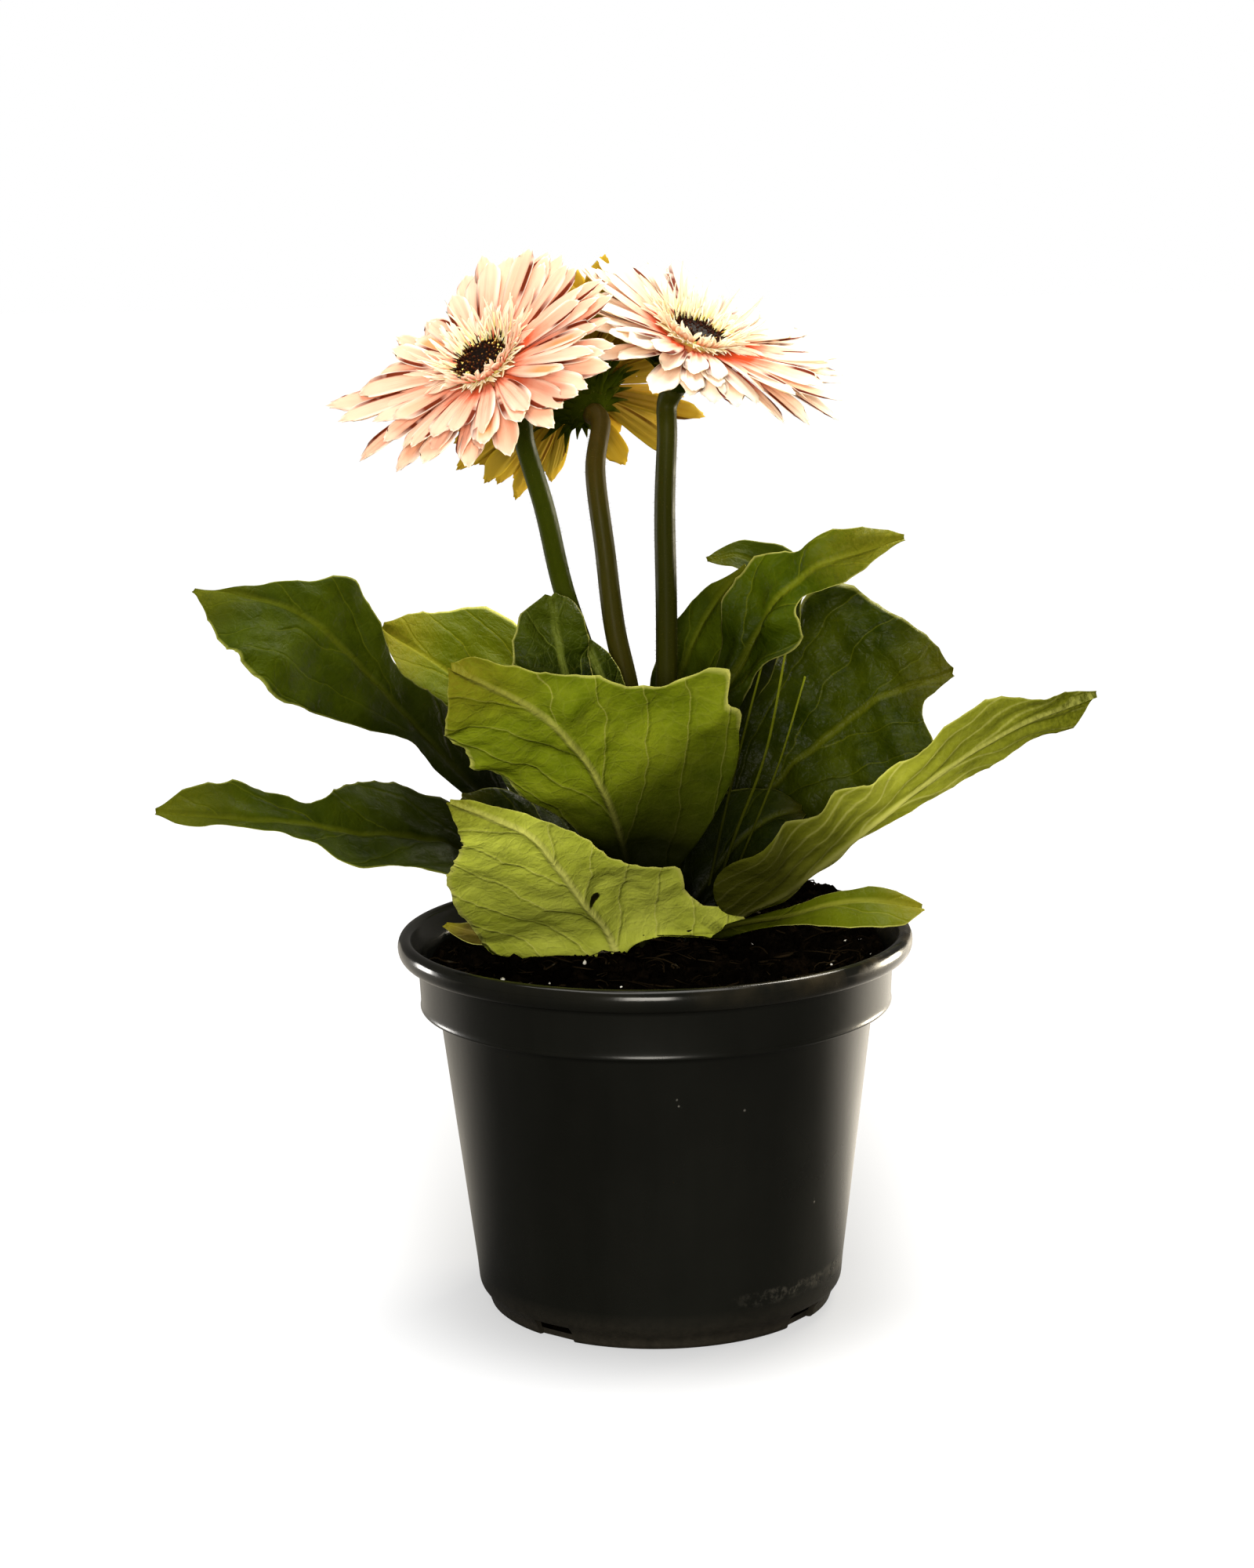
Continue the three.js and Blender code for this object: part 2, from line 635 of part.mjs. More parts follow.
function crest(seed) {
  const hub = turned(
    [
      [0, CREST.bottom],
      [CREST.radius, CREST.bottom],
      [CREST.radius - 0.6, CREST.top],
      [0, CREST.top],
    ],
    14,
  );
  const rows = [
    { count: 11, length: 11.5, rise: 26 },
    { count: 9, length: 7, rise: 48 },
  ];
  const blades = rows.flatMap(({ count, length, rise }, row) =>
    Array.from({ length: count }, (_, i) => {
      const slope = rad(rise + 4 * chance(seed + i, row + 3));
      const reach = length * (1 + 0.12 * chance(i, seed + row));
      const station = ([part, half]) => [
        CREST.radius - 1.5 + reach * part * Math.cos(slope),
        1.7 + reach * part * Math.sin(slope),
        half,
      ];
      const turn = (2 * Math.PI * (i + 0.5 * row)) / count + 0.05 * chance(row, seed + i);
      return solidOf(headBlade([[0, 0.9], [0.6, 1.1], [1, 0.5]].map(station), turn, 0.7));
    }),
  );
  return fuse([solidOf(hub), ...blades]);
}

function eye() {
  const { bottom, height, radius } = EYE;
  const rings = [0.3, 0.65, 1].map((part) => {
    const count = 14;
    return Array.from({ length: count }, (_, k) => {
      const bump = part < 1 ? 0.5 * (k % 2 ? 1 : -1) : 0;
      const angle = (2 * Math.PI * k) / count;
      const level = bottom + height * (1 - 0.75 * part * part) + bump;
      return new THREE.Vector3(radius * part * Math.cos(angle), radius * part * Math.sin(angle), level);
    });
  });
  const base = rings[2].map((p) => p.clone().multiplyScalar(0.96).setZ(bottom));
  return solidOf(skin([base, ...rings.reverse()]));
}

function involucre(seed) {
  const cup = turned(
    [
      [0, -NECK],
      [3.4, -NECK],
      [5.4, -13.6],
      [7.8, -9.4],
      [9, -4.6],
      [CUP.radius, CUP.top],
      [0, CUP.top],
    ],
    14,
  );
  const rows = [
    { stations: [[5.6, -12, 1.4], [10.4, -7.6, 1.4], [14, -5, 0.3]], turn: 0 },
    { stations: [[7.6, -8, 1.4], [12, -4.8, 1.3], [16.4, -2.8, 0.3]], turn: 0.5 },
  ];
  const count = 9;
  const bracts = rows.flatMap(({ stations, turn }, row) =>
    Array.from({ length: count }, (_, i) => {
      const angle = (2 * Math.PI * (i + turn)) / count + 0.04 * chance(seed, i + row);
      return solidOf(headBlade(stations, angle, 0.7));
    }),
  );
  return fuse([solidOf(cup), ...bracts]);
}

// Turns a piece that was made about the +Z axis to its place in a head.
function settle(geometry, { centre, facing }) {
  const turn = new THREE.Quaternion().setFromUnitVectors(new THREE.Vector3(0, 0, 1), vec(facing).normalize());
  return geometry.applyQuaternion(turn).translate(...centre);
}

// ---------------------------------------------------------------------------------------------------------
// The plant in its pot
// ---------------------------------------------------------------------------------------------------------
const stalkHoles = [
  ...Object.values(LEAVES).map((leaf) => stalkHole(smooth(leaf.rib), PETIOLE)),
  ...Object.values(HEADS).map((head) => stalkHole(smooth(head.scape), SCAPE.foot)),
];

place("pot", geometryOf(pot()), "pot");
place("compost", geometryOf(soil(stalkHoles)), "compost");
for (const [name, leaf] of Object.entries(LEAVES)) place(`leaf_${name}`, leafBody(leaf), "leaf");
Object.entries(HEADS).forEach(([name, head], i) => {
  const below = (depth) => vec(head.facing).setLength(-depth).add(vec(head.centre)).toArray();
  const curve = smooth([...head.scape, below(NECK + GAP + 6), below(NECK + GAP)]);
  place(`scape_${name}`, stalk(curve, 1, SCAPE.foot, SCAPE.top, SCAPE.sides, SCAPE.steps), "scape");
  place(`involucre_${name}`, settle(geometryOf(involucre(i)), head), "bract");
  place(`rays_${name}`, settle(geometryOf(rays(10 * i, head)), head), "ray");
  place(`crest_${name}`, settle(geometryOf(crest(20 * i)), head), "crest");
  place(`eye_${name}`, settle(geometryOf(eye()), head), "eye");
});

export default group;
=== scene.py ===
# %% [markdown]
# # A gerbera in its nursery pot
# The CAD model already gives every piece its place and its real size. This lesson gives each piece the form
# and the finish that a plain faceted solid can't show: veined leaves, grooved petals, hairy stalks and moist
# compost. Each piece is worked out from the same few sizes as its solid, in millimetres, and then scaled to
# metres, so it lands exactly where the solid stands.

import json
import math

import bmesh
import bpy
import numpy as np
from mathutils import Matrix, Vector

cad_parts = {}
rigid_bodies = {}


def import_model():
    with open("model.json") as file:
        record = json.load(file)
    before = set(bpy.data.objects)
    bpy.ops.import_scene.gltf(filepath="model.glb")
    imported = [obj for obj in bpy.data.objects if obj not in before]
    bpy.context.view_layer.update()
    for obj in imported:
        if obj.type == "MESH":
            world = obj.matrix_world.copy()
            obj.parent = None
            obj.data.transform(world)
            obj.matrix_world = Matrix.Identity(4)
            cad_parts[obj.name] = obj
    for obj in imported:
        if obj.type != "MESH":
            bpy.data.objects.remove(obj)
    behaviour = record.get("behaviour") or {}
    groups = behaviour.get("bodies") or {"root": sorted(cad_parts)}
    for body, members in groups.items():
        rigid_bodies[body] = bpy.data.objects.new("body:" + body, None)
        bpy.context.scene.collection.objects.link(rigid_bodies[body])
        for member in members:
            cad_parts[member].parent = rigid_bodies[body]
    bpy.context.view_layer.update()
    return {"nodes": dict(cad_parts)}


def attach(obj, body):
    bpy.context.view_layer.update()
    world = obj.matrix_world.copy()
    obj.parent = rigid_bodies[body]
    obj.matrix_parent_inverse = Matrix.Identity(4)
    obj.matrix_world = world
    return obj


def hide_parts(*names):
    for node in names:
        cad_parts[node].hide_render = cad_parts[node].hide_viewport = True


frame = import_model()
MM = 0.001
print(len(frame["nodes"]), "solids in the frame")

# %% [markdown]
# ## Camera
# A camera a metre away with a long lens shows the plant as it stands at eye level on a bench. The lens is
# given for the long side of an upright picture. The camera leans down a little and is turned by a hair. It
# could be aimed with a Track To constraint, but that leaves out the small roll, so its three own axes are
# worked out and given to it as a matrix.


# %% Camera
def into_scene(name, data):
    made = bpy.data.objects.new(name, data)
    bpy.context.scene.collection.objects.link(made)
    return made


CAMERA_AT = (0, -1.0, 0.351212)
LENS = 78.33
PITCH, YAW, ROLL = 0.19016, -0.00757, -0.01832

forward = Vector((math.sin(YAW) * math.cos(PITCH), math.cos(YAW) * math.cos(PITCH), -math.sin(PITCH)))
level = Vector((math.cos(YAW), -math.sin(YAW), 0))
upright = level.cross(forward)
right_axis = level * math.cos(ROLL) + upright * math.sin(ROLL)
up_axis = upright * math.cos(ROLL) - level * math.sin(ROLL)

camera = into_scene("camera", bpy.data.cameras.new("camera"))
camera.data.lens = LENS
turn = Matrix((right_axis, up_axis, -forward)).transposed()
camera.matrix_world = Matrix.Translation(CAMERA_AT) @ turn.to_4x4()
bpy.context.scene.camera = camera
print("camera at", CAMERA_AT)

# %% [markdown]
# ## Wires
# Every finish here is a Principled shader with a few texture nodes in front of it. Nodes can be placed by
# hand, but a plant needs dozens, so `node` makes one, fills each input with a plain value or a wire, and gives
# back the wire of one output. Wires can be added and multiplied like numbers: each sum or product makes the
# Math node that works it out. `between` runs from 0 to 1 as a wire goes from one value to another.


# %% Wires
class Wire:
    def __init__(self, made, output=0):
        self.made, self.socket, self.tree = made, made.outputs[output], made.id_data

    def other(self, output):
        return Wire(self.made, output)

    def calc(self, operation, *others):
        return node(self.tree, "Math", dict(enumerate((self, *others))), operation=operation)

    def __add__(self, other):
        return self.calc("ADD", other)

    def __mul__(self, other):
        return self.calc("MULTIPLY", other)

    def __sub__(self, other):
        return self + other * -1.0

    def between(self, low, high, start=0.0, end=1.0, **options):
        return node(self.tree, "MapRange", dict(enumerate((self, low, high, start, end))), **options)

    def ramp(self, *stops):
        """Colours at places along the wire's value."""
        made = node(self.tree, "ValToRGB", {0: self})
        band = made.made.color_ramp.elements
        while len(band) < len(stops):
            band.new(0.5)
        for element, (place, colour) in zip(band, stops):
            element.position, element.color = place, (*colour, 1)
        return made


def fill(made, inputs):
    for key, value in inputs.items():
        if isinstance(value, Wire):
            made.id_data.links.new(value.socket, made.inputs[key])
        else:
            made.inputs[key].default_value = value


def node(tree, kind, inputs=None, output=0, **options):
    made = tree.nodes.new("ShaderNode" + kind)
    for option, value in options.items():
        setattr(made, option, value)
    fill(made, inputs or {})
    return Wire(made, output)


checked = node(bpy.data.node_groups.new("trial", "ShaderNodeTree"), "Value") * 2.0
print("a wire times two comes from a", checked.made.bl_label, "node")
bpy.data.node_groups.remove(checked.tree)

# %% [markdown]
# ## Helpers for finishes
# `blend` lays one colour over another by a share, which is how most of the colour in this scene is built up.
# `marks_of` reads numbers that are kept on the points of a mesh, such as how far along a leaf a point lies, so
# colour and form always agree. Petals and leaves are thin enough for light to come through, which a mix with
# a translucent shader gives at a fraction of the time that real scattering takes.

# %% Helpers for finishes
SMOOTH = dict(interpolation_type="SMOOTHSTEP")


def new_finish(name, **sockets):
    material = bpy.data.materials.new(name)
    material.use_nodes = True
    shader = material.node_tree.nodes["Principled BSDF"]
    fill(shader, {label.replace("_", " "): value for label, value in sockets.items()})
    return material, material.node_tree, shader


def blend(share, under, over, mode="MIX"):
    tree = next(value.tree for value in (share, under, over) if isinstance(value, Wire))
    colours = [value if isinstance(value, Wire) else (*value, 1) for value in (under, over)]
    return node(tree, "Mix", {0: share, 6: colours[0], 7: colours[1]}, 2, data_type="RGBA", blend_type=mode)


def marks_of(tree, *names):
    return [node(tree, "Attribute", output="Fac", attribute_name=name) for name in names]


def spot_in(tree):
    return node(tree, "TexCoord", output="Object")


def xyz(place):
    x = node(place.tree, "SeparateXYZ", {0: place})
    return x, x.other(1), x.other(2)


def stretched(place, *scale):
    return node(place.tree, "Mapping", {"Vector": place, "Scale": scale})


def noise_of(place, scale, detail=4, **inputs):
    return node(place.tree, "TexNoise", {"Vector": place, "Scale": scale, "Detail": detail, **inputs})


def cells_of(place, scale, randomness, **options):
    values = {"Vector": place, "Scale": scale, "Randomness": randomness}
    return node(place.tree, "TexVoronoi", values, "Distance", **options)


def bump(shader, height, strength, depth):
    values = {"Height": height, "Strength": strength, "Distance": depth * MM}
    fill(shader, {"Normal": node(height.tree, "Bump", values)})


def let_light_through(shader, share, colour):
    tree = shader.id_data
    glow = node(tree, "BsdfTranslucent", {"Color": colour})
    both = node(tree, "MixShader", {0: share, 1: Wire(shader), 2: glow})
    fill(tree.nodes["Material Output"], {"Surface": both})


print("depths of bumps are given in", MM, "m")

# %% [markdown]
# ## Light
# Light through petals and leaf margins is what makes a plant look alive, so a strong soft box stands high
# behind the plant on the right. A wide one hangs above, and one in front keeps the near leaves readable. Two
# small ones stand low at the sides and draw the bright edges down the pot. A few area lights could be swapped
# for a sky picture, but each of these can be moved on its own. The world is white to look at, but it lights
# the plant far less than it shows, which keeps the shadows between the leaves deep.

# %% Soft boxes
PLANT, POT_WALL = (0, 0, 0.2), (0, 0, 0.07)
SOFT_BOXES = {  # place, what it faces, size in metres, watts, colour
    "back_box": ((0.55, 0.8, 1.15), PLANT, 0.5, 34, (1.0, 0.95, 0.84)),
    "top_box": ((-0.1, -0.05, 1.5), PLANT, 1.1, 30, (1.0, 0.98, 0.93)),
    "front_box": ((-0.1, -1.6, 0.5), PLANT, 0.6, 37, (1.0, 0.95, 0.85)),
    "right_box": ((0.68, 0.42, 0.1), POT_WALL, 0.2, 12, (1.0, 0.9, 0.7)),
    "left_box": ((-0.75, 0.38, 0.1), POT_WALL, 0.2, 4, (1.0, 0.97, 0.92)),
}
for name, (place, faced, size, power, colour) in SOFT_BOXES.items():
    light = into_scene(name, bpy.data.lights.new(name, "AREA"))
    light.data.energy, light.data.size, light.data.color = power, size, colour
    light.location = place
    light.rotation_euler = (Vector(faced) - Vector(place)).to_track_quat("-Z", "Y").to_euler()
print("lights:", ", ".join(SOFT_BOXES))

# %% White room
world = bpy.data.worlds.new("white room")
bpy.context.scene.world = world
world.use_nodes = True
sky = world.node_tree
fill(sky.nodes["Background"], {"Color": (1, 1, 1, 1), "Strength": 1.0})
lit = node(sky, "Background", {"Color": (1, 0.95, 0.86, 1), "Strength": 0.15})
to_camera = node(sky, "LightPath", output="Is Camera Ray")
room = node(sky, "MixShader", {0: to_camera, 1: lit, 2: Wire(sky.nodes["Background"])})
fill(sky.nodes["World Output"], {"Surface": room})
bpy.context.scene.view_settings.view_transform = "Standard"
print("the room shows white and lights at", lit.made.inputs["Strength"].default_value)

# %% [markdown]
# ## Floor
# A pale floor carries the plant. A lit white floor turns grey before it turns white, so this one gives off
# its own even white and only shades softly towards the foot of the pot. The shade is drawn from the distance
# to the pot, and it fades out behind, where it would look like a band. Gloss sees the floor only beside and
# behind the pot, a little warm and stronger on the right: that is the bounced light down the pot's two edges.

# %% Floor
FLOOR_HALF = 6.0
FOOT_RADIUS = 0.055

floor_mesh = bpy.data.meshes.new("floor")
corners = [(x * FLOOR_HALF, y * FLOOR_HALF, 0) for x, y in ((-1, -1), (1, -1), (1, 1), (-1, 1))]
floor_mesh.from_pydata(corners, [], [(0, 1, 2, 3)])
floor = into_scene("floor", floor_mesh)

floor_finish, tree, shader = new_finish("floor white", Roughness=0.9, Base_Color=(0.035, 0.035, 0.035, 1))
aside, back, _ = xyz(spot_in(tree))
behind = node(tree, "Clamp", {0: back, 1: 0.0, 2: 0.5})
ahead = back - behind
from_pot = (aside * aside + ahead * ahead).calc("SQRT") + behind * -0.06 - FOOT_RADIUS
white = blend(back.between(0.0, 0.45, **SMOOTH), from_pot.between(-0.01, 0.05, 0.58, **SMOOTH), (1, 1, 1))
to_camera = node(tree, "LightPath", output="Is Camera Ray")
to_gloss = to_camera.other("Is Glossy Ray")
to_side = (aside.calc("ABSOLUTE") + back * -0.4).between(-0.02, 0.03)
mirrored = back.between(0.0, 0.12) * to_side * aside.between(-0.05, 0.08, 0.65, 2.1)
fill(shader, {
    "Emission Color": blend(to_gloss, (1, 1, 1), (1, 0.91, 0.76)),
    "Emission Strength": white * (to_camera + to_gloss * mirrored),
})
floor_mesh.materials.append(floor_finish)
print("floor:", 2 * FLOOR_HALF, "m wide")

# %% [markdown]
# ## Pieces
# Each piece is one mesh object made from arrays of points in millimetres and lists of faces. Arrays are much
# faster than adding vertices one by one in edit mode, and they keep the sizes readable. `marks` are the
# numbers kept on the points, and `sheet` is a flat layout in millimetres for the textures of thin blades. The
# piece then says which solid of the frame it stands in for.


# %% Pieces
def make_piece(name, points, faces, finishes, slot, face_finish=None, marks=None, sheet=None, stands_in=True):
    mesh = bpy.data.meshes.new(f"fine_{name}")
    mesh.from_pydata((np.asarray(points) * MM).tolist(), [], [tuple(face) for face in faces])
    for material in finishes:
        mesh.materials.append(material)
    if face_finish is not None:
        mesh.polygons.foreach_set("material_index", np.asarray(face_finish, np.int32))
    for label, values in (marks or {}).items():
        mark = mesh.attributes.new(label, "FLOAT", "POINT")
        mark.data.foreach_set("value", np.asarray(values, np.float32).ravel())
    if sheet is not None:
        corners = np.empty(len(mesh.loops), np.int32)
        mesh.loops.foreach_get("vertex_index", corners)
        layer = mesh.uv_layers.new(name="sheet")
        layer.data.foreach_set("uv", np.asarray(sheet, np.float32)[corners].ravel())
    mesh.polygons.foreach_set("use_smooth", np.ones(len(mesh.polygons), bool))
    piece = into_scene(f"fine_{name}", mesh)
    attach(piece, "root")
    if stands_in:
        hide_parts(name)
    return piece


def unit(v):
    return v / np.linalg.norm(v, axis=-1, keepdims=True)


print("a unit vector has length", float(np.linalg.norm(unit(np.array([3.0, 4.0, 0.0])))))

# %% [markdown]
# ## Blades, tubes and turned bodies
# Nearly everything on this plant is one of three forms: a thin closed blade (leaf, petal, bract), a tube
# (stalk, hair, floret) or a body turned about an axis (pot, cup). Modifiers such as Solidify, Skin and Screw
# make the same forms, but these helpers make hundreds of them at once and keep every wall closed.


# %% Blades
def blade_faces(rows, columns):
    """Quads of a closed blade: a top grid, an underside grid, and the rim between them."""
    top = np.arange(rows * columns).reshape(rows, columns)
    under = top + rows * columns

    def quads(*corners):
        return np.stack([corner.ravel() for corner in corners], 1)

    upper = quads(top[:-1, :-1], top[:-1, 1:], top[1:, 1:], top[1:, :-1])
    back = np.vstack([
        quads(under[:-1, :-1], under[1:, :-1], under[1:, 1:], under[:-1, 1:]),
        quads(top[:-1, 0], top[1:, 0], under[1:, 0], under[:-1, 0]),
        quads(top[1:, -1], top[:-1, -1], under[:-1, -1], under[1:, -1]),
        quads(top[0, :-1], under[0, :-1], under[0, 1:], top[0, 1:]),
        quads(top[-1, 1:], under[-1, 1:], under[-1, :-1], top[-1, :-1]),
    ])
    return np.vstack([upper, back]), np.concatenate([np.zeros(len(upper)), np.ones(len(back))])


print("a blade of 3 by 3 points has", len(blade_faces(3, 3)[0]), "faces")


# %% Tubes
def tubes(paths, radii, sides):
    """Many closed tubes at once. paths is (tubes, points, 3) and radii is (tubes, points)."""
    count, steps, _ = paths.shape
    along = unit(np.gradient(paths, axis=1))
    overall = unit(paths[:, -1:] - paths[:, :1])
    helper = np.where(np.abs(overall[..., 2:]) > 0.7, (1.0, 0.0, 0.0), (0.0, 0.0, 1.0))
    across = unit(np.cross(helper, along))
    other = np.cross(along, across)
    angle = np.arange(sides) * 2 * np.pi / sides
    ring = across[..., None, :] * np.cos(angle)[:, None] + other[..., None, :] * np.sin(angle)[:, None]
    points = paths[..., None, :] + ring * radii[..., None, None]
    grid = np.arange(count * steps * sides).reshape(count, steps, sides)
    after = np.roll(grid, -1, axis=2)
    faces = np.stack([grid[:, :-1], after[:, :-1], after[:, 1:], grid[:, 1:]], -1).reshape(-1, 4)
    return points.reshape(-1, 3), faces.tolist() + grid[:, 0, ::-1].tolist() + grid[:, -1].tolist()


straight = np.array([[[0, 0, 0], [0, 0, 1], [0, 0, 2.0]]])
print("a tube with six sides and three rings has", len(tubes(straight, np.ones((1, 3)), 6)[1]), "faces")


# %% Turned bodies
def ring_faces(rings, sides):
    grid = np.arange(rings * sides).reshape(rings, sides)
    after = np.roll(grid, -1, axis=1)
    return np.stack([grid[:-1], after[:-1], after[1:], grid[1:]], -1).reshape(-1, 4).tolist()


def lathe(profile, sides):
    """A closed body turned about +Z. The profile of [radius, height] closes on itself or on the axis."""
    angle = np.arange(sides) * 2 * np.pi / sides
    radius, height = np.array(profile, float).T
    x, y = radius[:, None] * np.cos(angle), radius[:, None] * np.sin(angle)
    points = np.stack([x, y, np.broadcast_to(height[:, None], x.shape)], -1).reshape(-1, 3)
    return points, ring_faces(len(profile), sides)


def joined(*bodies):
    """One list of points and faces from several."""
    faces, start = [], 0
    for points, body_faces in bodies:
        faces += [[int(corner) + start for corner in face] for face in body_faces]
        start += len(points)
    return np.vstack([points for points, _ in bodies]), faces


print("a turned cone has", len(lathe([(0, 0), (1, 0), (0, 2)], 8)[1]), "faces before its axis is closed")

# %% [markdown]
# ## Rib curves and unevenness
# A leaf or a stalk follows a smooth curve through a handful of points, the same curve that the solid follows.
# `wobble` adds up five slow waves in random directions to a smooth uneven number. A Displace modifier with a
# clouds texture does much the same, but this one can be used anywhere in a formula.


# %% Rib curves and unevenness
def rib_curve(points, t):
    """The same smooth curve as the solid's, at places from 0 to 1."""
    knots = np.array(points, float)
    padded = np.vstack([2 * knots[0] - knots[1], knots, 2 * knots[-1] - knots[-2]])
    place = np.clip(t, 0, 1) * (len(knots) - 1)
    index = np.minimum(place.astype(int), len(knots) - 2)
    w = (place - index)[:, None]
    a, b, c, d = (padded[index + k] for k in range(4))
    return 0.5 * (2 * b + (c - a) * w + (2 * a - 5 * b + 4 * c - d) * w**2 + (3 * b - a - 3 * c + d) * w**3)


def rib_along(points, spacing):
    """Places, points, tangents and distances at even spacing along a rib."""
    fine = np.linspace(0, 1, 600)
    steps = np.linalg.norm(np.diff(rib_curve(points, fine), axis=0), axis=1)
    length = np.concatenate([[0], np.cumsum(steps)])
    distance = np.linspace(0, length[-1], max(int(length[-1] / spacing), 8))
    t = np.interp(distance, length, fine)
    tangent = unit(rib_curve(points, t + 0.002) - rib_curve(points, t - 0.002))
    return t, rib_curve(points, t), tangent, distance


def wobble(points, size, seed):
    """A smooth uneven number from about -1 to 1 at each point. size is the length of its bumps in mm."""
    draw = np.random.default_rng(seed)
    total = 0
    for _ in range(5):
        way = draw.normal(size=3)
        way *= 2 * np.pi / (size * draw.uniform(0.7, 1.6) * np.linalg.norm(way))
        total = total + np.sin(points @ way + draw.uniform(0, 6.28))
    return total / 2.5


print("wobble at the middle of the pot:", round(float(wobble(np.zeros((1, 3)), 10, 1)[0]), 3))

# %% [markdown]
# ## Leaf finish
# A gerbera leaf is dull olive above and pale and felted below. The side veins lie in grooves on the upper face
# and stand out as ribs on the underside, so one recipe serves both: only the colours and the sign of `raised`
# change. `vein` counts the side veins along a leaf, so its distance to the nearest whole number draws them.
# Cell patterns at two sizes make the net between. A pale band along the margin is a painted highlight for the
# light that rims the leaf edges. `foot` says where along the leaf the painted shade of the crown ends, and
# `shaded` how dark that painted shade gets. `tip` is the colour that it wears to, and on the long look's
# underside also a painted shade for the shaded upper face seen there. `relief` is the height of its soft dents,
# and `hole` a near-black spot for a bitten hole, with the shade seen through it painted on.

# %% Leaf finish
VEIN_SPACING = 30.0


def leaf_finish(name, deep, fresh, vein, rough=0.5, raised=1.0, through=0.3, net=0.12, gloss=0.02,
                tip=(0.2, 0.18, 0.01), margin=(0.58, 0.58, 0.14), shaded=0.05, tip_wear_and_shade_from=0.8,
                spacing=VEIN_SPACING, foot=(0.27, 0.46, 0.66), relief=2.2, hole=None):
    material, tree, shader = new_finish(name, Specular_IOR_Level=gloss)
    sheet = node(tree, "UVMap", uv_map="sheet")
    across, count, part, edge = marks_of(tree, "across", "vein", "tip", "edge")
    from_rib = across.calc("ABSOLUTE")
    rib = from_rib.between(0.6, 1.5, 1.0, 0.0)
    count = count + across.calc("GREATER_THAN", 0.0) * 0.45 + noise_of(sheet, 0.08, 2) * 0.5
    off_vein = count.calc("PINGPONG", 0.5) * spacing
    side_vein = off_vein.between(0.1, 0.6, 1.0, 0.0)
    nets = [
        cells_of(sheet, scale, 0.9, feature="DISTANCE_TO_EDGE").between(0.0, width, 1.0, 0.0)
        for scale, width in ((0.2, 0.07), (0.55, 0.09))
    ]
    fine_net = nets[0] * 0.6 + nets[1] * 0.35
    speck = noise_of(sheet, 0.7, 4, Roughness=0.7)

    flesh = noise_of(sheet, 0.045, 5, Roughness=0.65).ramp((0.3, deep), (0.68, fresh))
    flesh = blend(speck * 0.35, flesh, tuple(0.55 * c for c in deep))
    flesh = blend(fine_net * net, flesh, vein)
    flesh = blend((side_vein * 0.6).calc("MAXIMUM", rib * 0.7), flesh, vein)
    # painted highlight: a pale band along the margin stands for the light that rims the leaf edges
    flesh = blend(edge.between(0.955, 0.99) * 0.75, flesh, margin)
    # the tip colour is wear, and on the long look's underside also a painted shade for the shaded upper face
    # seen at its tip
    flesh = blend(part.between(tip_wear_and_shade_from, 1.0) * (speck * 1.7), flesh, tip)
    # painted shade: the colour darkens towards the leaf's foot, as if the crown shaded it; shaded is how dark
    # it gets
    shades = (shaded, 0.3 + 0.7 * shaded, 1)
    shade = (part + from_rib * 0.004).ramp(*((place, (grey,) * 3) for place, grey in zip(foot, shades)))
    flesh = blend(1.0, flesh, shade, "MULTIPLY")
    # painted shade: a near-black spot beside the rib stands for a bitten hole and the shade seen through it
    if hole:
        off_across, off_along = (across - hole[0]) * 0.5, (part - hole[1]) * 60
        off_hole = off_across * off_across + off_along * off_along + speck * 0.8
        flesh = blend(off_hole.between(1.7, 1.2), flesh, (0.008, 0.006, 0.002))

    grain = noise_of(sheet, 0.35, 5, Roughness=0.7)
    fill(shader, {"Base Color": flesh, "Roughness": grain.between(0.3, 0.7, rough - 0.08, rough + 0.14)})
    ridge = off_vein.between(0.2, 2.8, 1.0, 0.0, **SMOOTH).calc("MAXIMUM", rib)
    height = ridge * (0.45 * raised) + fine_net * (1.6 * net * raised) + speck * 0.2
    bump(shader, height + noise_of(sheet, 0.16, 3) * relief, 0.8, 0.8)
    let_light_through(shader, through, blend(0.5, flesh, fresh))
    return material


print("side veins stand", VEIN_SPACING, "mm apart along a leaf")
